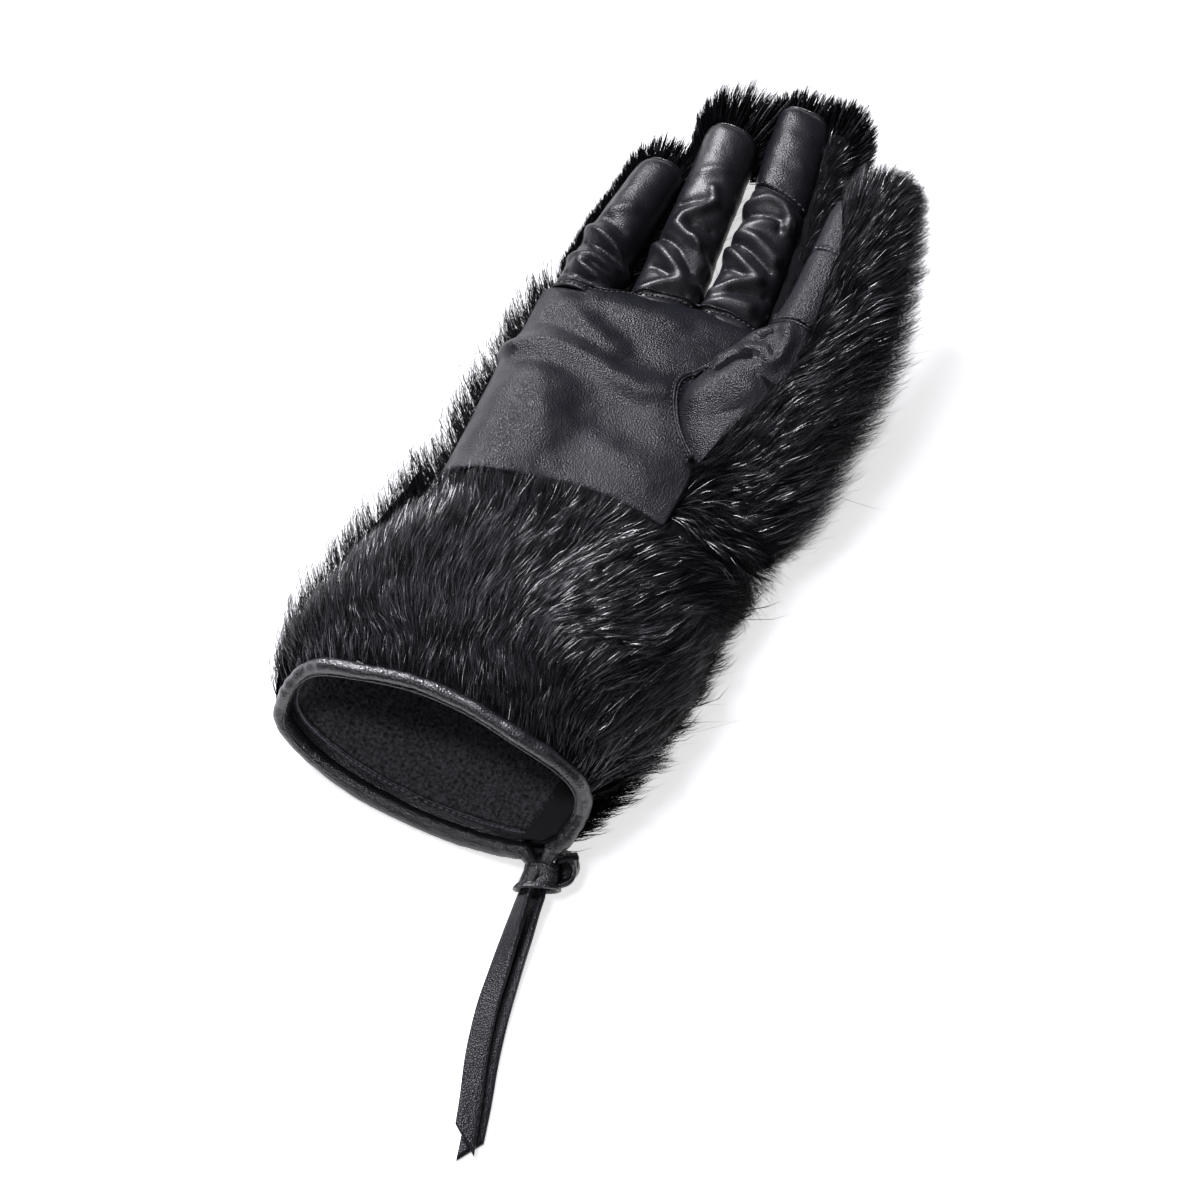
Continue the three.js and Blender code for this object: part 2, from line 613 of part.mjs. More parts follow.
// A strip along the slit between two depths under the skin
function slitStrip(halfWidth, rows, deep, shallow) {
  const grid = (inset) => rows.map((y) => (
    [1, 0, -1].map((side) => besideSlit(y, side * halfWidth, inset))
  ));
  return panelBetween(grid(shallow), grid(deep));
}

const slitRows = [-120, mouthEdge, -78, -60, -40, -20];
const slitCut = slitStrip(SLIT.halfWidth + SEAM_GAP, [...slitRows, SLIT.endY + SEAM_GAP], 4, -14);
const skin = handSkin.subtract(slitCut);

// Front panels are cut from the skin above the side seams, hides from what is left
const backCuffOutline = [[FAR_LEFT, 12], [FAR_RIGHT, 28], ...BEYOND_MOUTH];
const middleTipOutline = [[-70, 202], ...MIDDLE_TIP_SEAM, [30, 196], [30, 300], [-70, 300]];
const inside = (outline) => cutterOver(outline, -SEAM_GAP / 2);
const around = (outline) => cutterOver(outline, SEAM_GAP / 2);
const frontSkin = skin.intersect(front);
const fingerNames = Object.keys(FINGERS);
const frontOutlines = [cuffOutline, palmOutline, ...fingerNames.map((_, k) => fingerOutline(k))];
const allFronts = frontOutlines.map(around).reduce((sum, cutter) => sum.add(cutter)).intersect(frontWide);
const backSkin = skin.subtract(allFronts);

addPiece('cuff_front_fur', frontSkin.intersect(inside(cuffOutline)), hairBlack);
addPiece('cuff_back_fur', backSkin.intersect(inside(backCuffOutline)).subtract(front), hairBlack);
addPiece('palm_leather', frontSkin.intersect(inside(palmOutline)), leatherBlack);
let handBack = backSkin.subtract(around(backCuffOutline).subtract(front));
fingerNames.forEach((name, k) => {
  const leather = frontSkin.intersect(inside(fingerOutline(k)));
  if (name === 'middle') {
    addPiece('middle_finger_tip_leather', leather.intersect(inside(middleTipOutline)), leatherBlack);
    addPiece('middle_finger_leather', leather.subtract(around(middleTipOutline)), shinyLeather);
  } else {
    addPiece(`${name}_finger_leather`, leather, shinyLeather);
  }
  addPiece(`${name}_finger_fur`, backSkin.intersect(inside(fingerBackOutline(k))), hairBlack);
  handBack = handBack.subtract(around(fingerBackOutline(k)));
});
addPiece('hand_back_fur', handBack, hairBlack);

// The thumb sleeve sits on the hand, one seam gap above it
const sleeve = thumbOuter.subtract(thumbInner).subtract(handSeat);
const leatherTop = cutterOver(thumbOutline, -SEAM_GAP / 2, 30);
const belowRing = (ring, growth) => cutterOver([[-60, 20], [80, 20], ring[1], ring[0]], growth, 0);
const thumbLeather = sleeve.intersect(leatherTop);
addPiece('thumb_fur', sleeve.subtract(cutterOver(thumbOutline, SEAM_GAP / 2, 30 - SEAM_GAP)), hairBlack);
addPiece('thumb_base_leather', thumbLeather.intersect(belowRing(THUMB_RING_1, -SEAM_GAP / 2)), leatherBlack);
addPiece('thumb_middle_leather', thumbLeather.subtract(belowRing(THUMB_RING_1, SEAM_GAP / 2))
  .intersect(belowRing(THUMB_RING_2, -SEAM_GAP / 2)), leatherBlack);
addPiece('thumb_tip_leather', thumbLeather.subtract(belowRing(THUMB_RING_2, SEAM_GAP / 2)), leatherBlack);

// Inside the cuff: a leather facing behind the binding, then the knit lining
const behindHide = HIDE + SEAM_GAP;
const gussetCutRows = [...slitRows.slice(0, 5), GUSSET.endY + SEAM_GAP];
const gussetCut = slitStrip(GUSSET.halfWidth + SEAM_GAP, gussetCutRows, 8, 0);
function cuffTube(rows) {
  const ends = [rows[0] - 8, ...rows, rows[rows.length - 1] + 8];
  return smoothBody(BODY, rows, behindHide, AROUND_INSIDE)
    .subtract(smoothBody(BODY, ends, behindHide + KNIT, AROUND_INSIDE))
    .subtract(gussetCut);
}
const facingEnd = LINING_ROWS[0] - SEAM_GAP;
addPiece('mouth_facing', cuffTube([mouthEdge, facingEnd]), leatherBlack);
addPiece('cuff_lining', cuffTube(LINING_ROWS), knitBlack);

// Binding: a rolled strip of leather round the mouth, open at the slit
function bindingRoll() {
  const facetEnd = skinPoint(BODY, MOUTH_Y, radians(SLIT.angle) + facetAngle).place;
  const facetLength = besideSlit(MOUTH_Y, 0, 0).distanceTo(facetEnd);
  const gap = THREE.MathUtils.radToDeg(facetAngle) * (SLIT.halfWidth + 2 * SEAM_GAP) / facetLength;
  const first = SLIT.angle + gap;
  const last = SLIT.angle + 360 - gap;
  const sides = 7;
  const between = BODY_ANGLES
    .map((degrees) => first + THREE.MathUtils.euclideanModulo(degrees - first, 360))
    .filter((degrees) => degrees > first + 2 && degrees < last - 2)
    .sort((a, b) => a - b);
  const rings = [first, ...between, last].map(radians).map((angle) => {
    const { place, facing } = skinPoint(BODY, MOUTH_Y, angle, HIDE / 2);
    const alongY = new THREE.Vector3(0, 1, 0);
    return Array.from({ length: sides }, (__, j) => {
      const turn = -j / sides * 2 * Math.PI;
      return place.clone().addScaledVector(alongY, BINDING.along * Math.cos(turn))
        .addScaledVector(facing, BINDING.thick * Math.sin(turn));
    });
  });
  return toSolid(ringsToGeometry(rings, false));
}
addPiece('cuff_binding', bindingRoll(), leatherBlack);

// Zipper: tape in the slit, coil on the tape, gusset behind it, slider at the mouth
const TAPE = { deep: 1.7, shallow: 0.5 };
const COIL = { halfWidth: 1.8, deep: 0.2, shallow: -1.0, shorter: 4 };
const tapeRows = [...slitRows.slice(1), SLIT.endY];
const coilRows = [...slitRows.slice(1), SLIT.endY - COIL.shorter];
addPiece('zipper_tape', slitStrip(SLIT.halfWidth, tapeRows, TAPE.deep, TAPE.shallow), zipTapeBlack);
addPiece('zipper_coil', slitStrip(COIL.halfWidth, coilRows, COIL.deep, COIL.shallow), zipTapeBlack);
const gussetRows = [...slitRows.slice(1, 4), GUSSET.endY];
addPiece('zip_gusset', slitStrip(GUSSET.halfWidth, gussetRows, behindHide + KNIT, behindHide), leatherBlack);

const sliderPlace = besideSlit(MOUTH_Y, 0, -1.3);
const sliderAcross = besideSlit(MOUTH_Y, 4, -1.3).sub(besideSlit(MOUTH_Y, -4, -1.3)).normalize();
const sliderOut = besideSlit(MOUTH_Y, 0, -2.3).sub(sliderPlace).normalize();
const sliderAlong = sliderOut.clone().cross(sliderAcross);
const sliderFrame = new THREE.Matrix4().makeBasis(sliderAcross, sliderAlong, sliderOut);
sliderFrame.setPosition(sliderPlace);
const sliderShape = extruded(SLIDER.outline, SLIDER.thick).applyMatrix4(sliderFrame);
addPiece('zipper_slider', toSolid(sliderShape), zipMetal);

// A strap swept along a centre line; `sideOf` gives the direction of its width in each row
function strap(centres, sides, width, thick, cut = 0) {
  const { chamfer } = THONG;
  const half = width / 2;
  const section = [
    [-half, -thick / 2], [half, -thick / 2],
    [half, thick / 2 - chamfer], [half - chamfer, thick / 2],
    [chamfer - half, thick / 2], [-half, thick / 2 - chamfer],
  ];
  const last = centres.length - 1;
  const rings = centres.map((centre, i) => {
    const heading = centres[Math.min(i + 1, last)].clone().sub(centres[Math.max(i - 1, 0)]).normalize();
    const side = sides[i].clone().addScaledVector(heading, -sides[i].dot(heading)).normalize();
    const normal = heading.clone().cross(side);
    const slanted = i === last ? cut / half : 0;
    return section.map(([a, b]) => centre.clone()
      .addScaledVector(side, a).addScaledVector(normal, b).addScaledVector(heading, a * slanted));
  });
  return toSolid(ringsToGeometry(rings, false));
}

// Thong: a half hitch under the slider with a loop at its side, and two hanging ends
const knotDown = new THREE.Vector3(...KNOT.down).normalize();
const knotAcross = new THREE.Vector3(...KNOT.across).normalize();
const knotUp = knotDown.clone().cross(knotAcross).normalize();
const knotRings = KNOT.rows.map(({ along, half, tall }) => (
  evenAngles(12).map((degrees) => radians(-degrees)).map((turn) => new THREE.Vector3(...KNOT.centre)
    .addScaledVector(knotDown, along)
    .addScaledVector(knotAcross, half * power(Math.cos(turn), 2.6))
    .addScaledVector(knotUp, tall * power(Math.sin(turn), 2.6)))
));
const loopCentres = KNOT.loop.map((place) => new THREE.Vector3(...place));
const loopStrap = strap(loopCentres, loopCentres.map(() => knotUp), 5, THONG.thick);
addPiece('thong_knot', toSolid(ringsToGeometry(knotRings, false)).add(loopStrap), leatherBlack);

function thongTail({ rows, cut }) {
  const centres = rows.map(({ x, y, z }) => new THREE.Vector3(x, y, z));
  const last = rows.length - 1;
  const sides = rows.map(({ tilt }, i) => {
    const heading = centres[Math.min(i + 1, last)].clone().sub(centres[Math.max(i - 1, 0)]);
    const right = new THREE.Vector3(-heading.y, heading.x, 0).normalize();
    return right.multiplyScalar(Math.cos(radians(tilt))).setZ(Math.sin(radians(tilt)));
  });
  return strap(centres, sides, THONG.width, THONG.thick, cut);
}
addPiece('thong_tail_front', thongTail(TAIL_FRONT), leatherBlack);
addPiece('thong_tail_rear', thongTail(TAIL_REAR), leatherBlack);

// The middle of the glove's footprint, without the hanging ends, is the origin
const box = new THREE.Box3();
const settled = glove.children.filter(({ name }) => !name.startsWith('thong_tail'));
settled.forEach((mesh) => box.expandByObject(mesh));
const middle = box.getCenter(new THREE.Vector3());
glove.children.forEach((mesh) => mesh.geometry.translate(-middle.x, -middle.y, -box.min.z));

export default glove;
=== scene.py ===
# %% [markdown]
# # A horsehide gauntlet glove
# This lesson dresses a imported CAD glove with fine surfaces, leather, hair and light. The CAD
# model is loaded first and stays fixed. Every piece is built where its CAD node lies. A glove
# could also be sculpted by hand. Here small tables of numbers give its form, so that each seam,
# stitch and hair can find its place on the same skin, and the result is the same each run.

# %% Load the frame
import json
import math

import bpy
import numpy as np
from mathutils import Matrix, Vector

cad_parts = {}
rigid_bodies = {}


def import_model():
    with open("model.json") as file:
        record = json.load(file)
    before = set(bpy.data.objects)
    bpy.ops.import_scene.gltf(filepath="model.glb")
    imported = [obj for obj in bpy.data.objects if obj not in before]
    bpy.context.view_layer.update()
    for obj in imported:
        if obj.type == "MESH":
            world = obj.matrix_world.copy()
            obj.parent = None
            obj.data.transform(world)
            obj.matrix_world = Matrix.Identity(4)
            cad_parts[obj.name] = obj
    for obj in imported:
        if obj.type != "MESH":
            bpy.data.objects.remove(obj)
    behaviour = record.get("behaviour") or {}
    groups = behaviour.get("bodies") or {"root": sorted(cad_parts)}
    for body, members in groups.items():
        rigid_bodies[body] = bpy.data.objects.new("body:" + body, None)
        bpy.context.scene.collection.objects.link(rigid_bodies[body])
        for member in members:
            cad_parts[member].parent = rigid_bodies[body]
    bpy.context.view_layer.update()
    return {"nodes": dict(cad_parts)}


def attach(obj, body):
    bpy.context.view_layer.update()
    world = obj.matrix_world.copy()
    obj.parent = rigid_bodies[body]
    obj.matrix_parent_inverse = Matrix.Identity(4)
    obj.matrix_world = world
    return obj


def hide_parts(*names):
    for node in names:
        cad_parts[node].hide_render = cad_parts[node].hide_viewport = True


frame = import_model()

# %% [markdown]
# ## Camera
# The photograph looks down on the glove from the cuff end, with the thumb side on the right.
# A long lens keeps the fingers and the cuff at nearly the same scale. A camera can be aimed with
# a constraint, but two angles and a distance are what can be judged in a photograph, so one
# function turns those into its place and its turn. The pattern of the glove was drawn in
# millimetres round a point in the palm, and another small function moves it to the frame.

# %% Units, origin and camera
MM = 0.001
PATTERN_ORIGIN = np.array((18.296, -76.011, 0.0))
AZIMUTH, ELEVATION, DISTANCE = 27, 60, 1.2


def in_frame(points):
    """Pattern millimetres to metres of the row frame."""
    return (np.asarray(points, float) + PATTERN_ORIGIN) * MM


def look_from(azimuth, elevation, distance, target):
    """A place round the target, in degrees and metres, and the turn that faces the target."""
    turn, rise = math.radians(azimuth), math.radians(elevation)
    away = Vector((math.sin(turn) * math.cos(rise), -math.cos(turn) * math.cos(rise), math.sin(rise)))
    return target + away * distance, away.to_track_quat("Z", "Y")


camera_data = bpy.data.cameras.new("camera")
camera_data.lens = 94.3        # millimetres: a long lens
camera_data.sensor_width = 36
camera = bpy.data.objects.new("camera", camera_data)
camera.location, turned = look_from(AZIMUTH, ELEVATION, DISTANCE, Vector(in_frame((0, 0, 30))))
camera.rotation_euler = turned.to_euler()
bpy.context.scene.collection.objects.link(camera)
bpy.context.scene.camera = camera
print("camera at", [round(v, 3) for v in camera.location])

# %% [markdown]
# ## Mesh and material helpers
# All pieces are meshes from arrays of points. Blender's editing tools could build them step by
# step, but whole arrays are quick enough for a coat of many thousand hairs. One helper makes the
# object. Another says that it belongs to the glove: it rides on the one body and stands for its CAD
# node.

# %% Helpers for meshes
def mesh_object(name, points, faces, material):
    """A mesh from pattern points and an array of equal faces, or a list of faces."""
    mesh = bpy.data.meshes.new(name)
    if isinstance(faces, np.ndarray):
        sides = faces.shape[1]
        mesh.vertices.add(len(points))
        mesh.vertices.foreach_set("co", in_frame(points).astype(np.float32).ravel())
        mesh.loops.add(faces.size)
        mesh.loops.foreach_set("vertex_index", faces.astype(np.int32).ravel())
        mesh.polygons.add(len(faces))
        mesh.polygons.foreach_set("loop_start", np.arange(0, faces.size, sides, dtype=np.int32))
        mesh.polygons.foreach_set("use_smooth", np.full(len(faces), True))
        mesh.update(calc_edges=True)
        mesh.validate()
    else:
        mesh.from_pydata(in_frame(points).tolist(), [], faces)
        mesh.polygons.foreach_set("use_smooth", [True] * len(mesh.polygons))
    mesh.materials.append(material)
    piece = bpy.data.objects.new(name, mesh)
    bpy.context.scene.collection.objects.link(piece)
    return piece


def worn(piece, slot, *nodes):
    """The piece is part of the glove and stands for these CAD nodes; `slot` is not used."""
    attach(piece, "root")
    if nodes:
        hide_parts(*nodes)
    return piece


def grid_faces(rows, columns, closed=False):
    """Quads between the points of a grid, listed row by row."""
    last = columns if closed else columns - 1
    i, j = np.meshgrid(np.arange(rows - 1), np.arange(last), indexing="ij")
    k = (j + 1) % columns
    corners = (i * columns + j, i * columns + k, (i + 1) * columns + k, (i + 1) * columns + j)
    return np.stack(corners, axis=-1).reshape(-1, 4)


def unit(vectors):
    """The same directions, each one long."""
    return vectors / np.maximum(np.linalg.norm(vectors, axis=-1, keepdims=True), 1e-9)


# %% [markdown]
# ## Leather and the other finishes
# Black glove leather is never flat black. It has a fine pebble grain, a faint cool sheen and
# patches where handling has polished it. A picture of leather could be wrapped round it, but
# that needs an unwrapped mesh and shows its seams. Here noise drives the roughness, and a cell
# pattern with soft noise drives the bump, at the size of real grain: well under a millimetre.

# %% Helpers for materials
def shader(name, color, roughness, **sockets):
    """A new material and its shader; Sheen_Weight=0.3 sets the socket Sheen Weight."""
    material = bpy.data.materials.new(name)
    material.use_nodes = True
    surface = material.node_tree.nodes["Principled BSDF"]
    surface.inputs["Base Color"].default_value = (*color, 1)
    surface.inputs["Roughness"].default_value = roughness
    for socket, value in sockets.items():
        surface.inputs[socket.replace("_", " ")].default_value = value
    return material, surface


def node(material, kind, **settings):
    """A node of this kind; each setting is one of its options or one of its sockets."""
    made = material.node_tree.nodes.new(kind)
    for key, value in settings.items():
        if hasattr(made, key) and key not in made.inputs:
            setattr(made, key, value)
        else:
            made.inputs[key].default_value = value
    return made


def link(material, source, target):
    """A wire from an output to an input."""
    material.node_tree.links.new(source, target)


def noise(material, scale, detail):
    """Noise that stays on the piece; `scale` is in waves per metre."""
    where = node(material, "ShaderNodeTexCoord")
    texture = node(material, "ShaderNodeTexNoise", Scale=scale, Detail=detail)
    link(material, where.outputs["Object"], texture.inputs["Vector"])
    return texture


def spread(material, source, low, high):
    """A noise value, mostly between 0.3 and 0.7, moved to the range from low to high."""
    ranged = node(material, "ShaderNodeMapRange")
    for socket, value in (("From Min", 0.3), ("From Max", 0.7), ("To Min", low), ("To Max", high)):
        ranged.inputs[socket].default_value = value
    link(material, source, ranged.inputs["Value"])
    return ranged.outputs["Result"]


def blend_colors(material, factor, first, second, target):
    """A colour between two, by a factor that changes over the surface."""
    mix = node(material, "ShaderNodeMix", data_type="RGBA")
    mix.inputs["A"].default_value = (*first, 1)
    mix.inputs["B"].default_value = (*second, 1)
    link(material, factor, mix.inputs["Factor"])
    link(material, mix.outputs["Result"], target)


def bump(material, surface, height, strength, depth, before=None):
    """Small relief, `depth` metres deep, on top of the bump made before it."""
    made = node(material, "ShaderNodeBump", Strength=strength, Distance=depth)
    link(material, height, made.inputs["Height"])
    if before:
        link(material, before.outputs["Normal"], made.inputs["Normal"])
    link(material, made.outputs["Normal"], surface.inputs["Normal"])
    return made


# %% Black leather
LEATHER_DARK = (0.004, 0.004, 0.006)


def leather(name, light, rough, grain, pebble, shine):
    """Leather with pebbles of `pebble` millimetres; `grain` is the strength of the bump."""
    material, surface = shader(name, LEATHER_DARK, 0.5, Specular_IOR_Level=shine)
    patches = noise(material, 45, 4)
    blend_colors(material, spread(material, patches.outputs["Fac"], 0, 1), LEATHER_DARK, light,
                 surface.inputs["Base Color"])
    rubbed = noise(material, 120, 5)
    link(material, spread(material, rubbed.outputs["Fac"], *rough), surface.inputs["Roughness"])
    where = node(material, "ShaderNodeTexCoord")
    cells = node(material, "ShaderNodeTexVoronoi", feature="F1", Scale=1 / (pebble * MM))
    link(material, where.outputs["Object"], cells.inputs["Vector"])
    first = bump(material, surface, cells.outputs["Distance"], grain, 0.0004)
    skin_noise = noise(material, 900, 4)
    bump(material, surface, skin_noise.outputs["Fac"], 0.35 * grain, 0.0002, first)
    return material


matte_leather = leather("matte_leather", (0.009, 0.009, 0.013), (0.30, 0.42), 0.5, 0.66, 0.2)
satin_leather = leather("satin_leather", (0.008, 0.008, 0.011), (0.30, 0.40), 0.3, 0.7, 0.19)
shiny_leather = leather("shiny_leather", (0.008, 0.008, 0.011), (0.35, 0.46), 0.2, 0.7, 0.42)
edge_leather = leather("edge_leather", (0.009, 0.009, 0.013), (0.26, 0.40), 0.5, 0.7, 0.8)

# %% [markdown]
# ## Floor and light
# The photograph was taken on a white sheet, with one large soft light from behind on the left
# and white walls around. A sun lamp would throw hard shadows and draw thin highlights. A wide
# panel draws the long soft highlights on the leather rolls, and three weak ones stand for the
# walls. The sheet glows a little, as on a light table, so it is white and the shadows stay faint.

# %% Floor, lights and sky
COOL_WHITE = (0.95, 0.94, 1.0)
LIGHTS_AIM = Vector((0, 0, 0.02))


def soft_light(name, place, size, power):
    """A square light panel, `size` metres wide, turned to the glove."""
    data = bpy.data.lights.new(name, "AREA")
    data.size = size
    data.energy = power
    data.color = COOL_WHITE
    lamp = bpy.data.objects.new(name, data)
    lamp.location = place
    lamp.rotation_euler = (Vector(place) - LIGHTS_AIM).to_track_quat("Z", "Y").to_euler()
    bpy.context.scene.collection.objects.link(lamp)


soft_light("window_left", (-1.15, 0.7, 1.2), 0.5, 64)
soft_light("overhead", (-0.25, 0.75, 1.55), 0.4, 2.5)
soft_light("above_cuff", (-0.35, -0.4, 1.45), 0.35, 6.5)
soft_light("fill_front", (0.6, -1.5, 1.3), 1.2, 3)
world = bpy.data.worlds.new("studio")
world.use_nodes = True
world.node_tree.nodes["Background"].inputs["Color"].default_value = (*COOL_WHITE, 1)
world.node_tree.nodes["Background"].inputs["Strength"].default_value = 0.10
bpy.context.scene.world = world
bpy.context.scene.view_settings.view_transform = "Standard"

floor_material, floor_surface = shader(
    "pale_floor", (0.93, 0.93, 0.94), 0.8, Emission_Color=(1, 1, 1, 1), Emission_Strength=0.68)
floor_dust = noise(floor_material, 6, 2)
blend_colors(floor_material, floor_dust.outputs["Fac"], (0.92, 0.92, 0.93), (0.95, 0.95, 0.955),
             floor_surface.inputs["Base Color"])
FLOOR_HALF, FLOOR_LEVEL = 3000, -0.2      # pattern millimetres
floor_corners = np.array([(-1, -1, 0), (1, -1, 0), (1, 1, 0), (-1, 1, 0)]) * FLOOR_HALF + (0, 0, FLOOR_LEVEL)
floor = mesh_object("floor", floor_corners - PATTERN_ORIGIN * (1, 1, 0), np.array([[0, 1, 2, 3]]),
                    floor_material)

# %% [markdown]
# ## The two ends of the thong
# The thong is a flat strap of pebbled leather, cut on the slant at both ends. Near the knot it
# stands on edge, and it turns flat where it meets the floor. A curve with a bevel could make it,
# but a section swept along a line can tilt by a set angle at each place. Each end follows the
# same centre line as its CAD solid, so its real length stays the same.

# %% Sweep of a strap
def smooth(table, column, at, along="y"):
    """A smooth curve through one column of a table."""
    x, v = table[along], table[column]
    at = np.clip(at, x[0], x[-1])
    low = np.clip(np.searchsorted(x, at, side="right") - 1, 0, len(x) - 2)
    slope = np.empty(len(x))
    slope[1:-1] = (v[2:] - v[:-2]) / (x[2:] - x[:-2])
    slope[0], slope[-1] = (v[1] - v[0]) / (x[1] - x[0]), (v[-1] - v[-2]) / (x[-1] - x[-2])
    span = x[low + 1] - x[low]
    t = (at - x[low]) / span
    return ((2 * t**3 - 3 * t**2 + 1) * v[low] + (t**3 - 2 * t**2 + t) * span * slope[low]
            + (3 * t**2 - 2 * t**3) * v[low + 1] + (t**3 - t**2) * span * slope[low + 1])


def columns(names, rows):
    """A table by column name, such as "y x half", from its rows."""
    return {name: np.array(values, float) for name, values in zip(names.split(), zip(*rows))}


STRAP_SECTION = columns("across thick", [
    (-1, -0.55), (-0.97, -0.95), (-0.88, -1), (0, -1), (0.88, -1), (0.97, -0.95), (1, -0.55), (1, 0.4),
    (0.97, 0.85), (0.9, 1), (0.45, 1.0), (0, 1.0), (-0.45, 1.0), (-0.9, 1), (-0.97, 0.85), (-1, 0.4),
])


def strap_points(centres, sides, width, thick, cut=0.0):
    """Rings of a strap along its centre line; `cut` slants its far end."""
    heading = unit(np.gradient(centres, axis=0))
    sides = unit(sides - heading * np.sum(sides * heading, axis=1, keepdims=True))
    normal = np.cross(heading, sides)
    across = STRAP_SECTION["across"] * width / 2
    rise = STRAP_SECTION["thick"] * thick / 2
    near_end = np.linspace(0, 1, len(centres))[:, None, None] ** 12
    return (centres[:, None] + sides[:, None] * across[None, :, None] + normal[:, None] * rise[None, :, None]
            + heading[:, None] * across[None, :, None] * near_end * cut / (width / 2))


def capped(rings):
    """Points and faces of a closed tube with a fan at each end."""
    rows, count = rings.shape[:2]
    points = np.concatenate([rings.reshape(-1, 3), rings[:1].mean(axis=1), rings[-1:].mean(axis=1)])
    faces = grid_faces(rows, count, closed=True).tolist()
    first = rows * count
    for j in range(count):
        k = (j + 1) % count
        faces.append((first, k, j))
        faces.append((first + 1, (rows - 1) * count + j, (rows - 1) * count + k))
    return points, faces


TAIL_FRONT = columns("y x z tilt", [
    (-206, 50.8, 3.1, 0), (-191.6, 45.7, 3.1, 1), (-175.5, 39.5, 3.3, 6), (-158.4, 34.5, 3.7, 16),
    (-144.7, 31.8, 4.3, 27), (-135, 30.0, 4.8, 35), (-126.5, 28.5, 5.4, 42), (-118.5, 27.1, 5.9, 49),
    (-112.2, 26.0, 6.4, 55),
])
TAIL_REAR = columns("y x z tilt", [
    (-208.4, 54.2, 0.9, 0), (-191, 48.9, 0.9, 0), (-176, 43.8, 1.0, 0), (-160, 39.3, 1.4, 5),
    (-146, 36.2, 2.0, 12), (-136, 34.2, 2.6, 19), (-127, 32.7, 3.3, 28), (-118, 31.2, 4.2, 40),
    (-110.6, 30.4, 4.9, 50),
])
STRAP_WIDTH, STRAP_THICK = 8.5, 1.8


def thong_end(name, table, cut):
    """One loose end, from the knot to its slanted cut."""
    rows = np.linspace(table["y"][-1], table["y"][0], 60)
    centres = np.stack([smooth(table, "x", rows), rows, smooth(table, "z", rows)], axis=1)
    tilt = np.radians(smooth(table, "tilt", rows))
    heading = unit(np.gradient(centres, axis=0))
    right = unit(np.stack([-heading[:, 1], heading[:, 0], 0 * rows], axis=1))
    sides = right * np.cos(tilt)[:, None] + np.array((0, 0, 1)) * np.sin(tilt)[:, None]
    rings = strap_points(centres, sides, STRAP_WIDTH, STRAP_THICK, cut)
    piece = worn(mesh_object(name, *capped(rings), matte_leather), "leather_matte", name)
    path = in_frame(centres[::3])
    path = np.vstack([path, in_frame(centres[-1:])])


thong_end("thong_tail_front", TAIL_FRONT, 5.6)
thong_end("thong_tail_rear", TAIL_REAR, -4.0)

# %% [markdown]
# ## The form of the glove
# The hand, each finger and the thumb are one limb each: a row of rounded sections along Y. The
# CAD solids were made from such tables too, and the fingers were fitted to the photograph once
# more here. Joined balls or a sculpted hand would give such a form too, but then no seam could be
# named by a number. Here a point of a limb's skin is given by a row and an angle round the
# section, from the thumb side (0) over the palm (90) to the little-finger side (180).

# %% Tables of the limbs
RESTING = 0.15      # what lies on the floor keeps this little gap, in millimetres
SIDE_SEAM = columns("y z", [(-140, 28), (-40, 25), (35, 20), (140, 18), (200, 23), (275, 29)])
MOUTH_Y = -87.3
MOUTH = columns("angle y", [
    (-90, -102.5), (-60, -100), (-36, -97), (-18, -91), (0, -80.5), (22, -77), (60, -76.5), (90, -74.5),
    (122, -79), (150, -82), (170, -88.5), (190, -94.5), (220, -98.5), (250, -101.5), (270, -102.5),
])
BODY = {"boxy": 2.35, "end": 145, "round": 14, "rows": columns("y x half up down", [
    (-140, -26.5, 61.5, 30, 24.5), (-87, -26.5, 61.5, 30.5, 24.0), (-60, -24.5, 63.0, 30.5, 23.0),
    (-30, -21.5, 62.5, 28.5, 22.0), (5, -20.0, 59.0, 25.0, 19.0), (35, -18.0, 60.0, 22.5, 17.5),
    (65, -19.0, 62.5, 21.5, 16.5), (100, -27.5, 58.0, 18.5, 15.5), (130, -32.5, 56.5, 14.0, 13.5),
    (150, -34.0, 54.5, 11.0, 12.0),
])}
PINKY = {"boxy": 2.2, "end": 200, "round": 9, "square": 3.6, "rows": columns("y x half up down", [
    (116, -74.0, 13.5, 11.5, 9.5), (160, -73.8, 12.3, 11.5, 9.0), (182, -72.4, 11.4, 11.2, 8.7),
    (200, -71.0, 10.9, 11.0, 8.5),
])}
RING = {"boxy": 2.2, "end": 227, "round": 9, "square": 4.2, "rows": columns("y x half up down", [
    (116, -40.5, 15.0, 12.0, 9.5), (142, -42.2, 15.2, 12.0, 9.2), (165, -45.1, 13.4, 12.0, 9.0),
    (200, -48.7, 12.5, 11.5, 9.0), (227, -52.4, 12.0, 11.0, 8.5),
])}
MIDDLE = {"boxy": 2.45, "end": 247, "round": 9, "square": 4.2, "rows": columns("y x half up down", [
    (116, -10.0, 15.0, 12.0, 9.5), (142, -13.0, 14.9, 12.0, 9.2), (165, -15.2, 14.0, 12.0, 9.0),
    (205, -19.9, 13.6, 12.0, 9.0), (226, -24.0, 13.4, 11.8, 8.8), (247, -28.7, 12.4, 11.0, 8.5),
])}
INDEX = {"boxy": 2.1, "end": 246, "round": 15, "rows": columns("y x half up down", [
    (116, 14.0, 11.5, 10.5, 9.5), (160, 8.5, 10.5, 9.0, 9.0), (205, -2.0, 9.5, 8.0, 8.5),
    (246, -13.0, 9.5, 7.0, 8.0),
])}
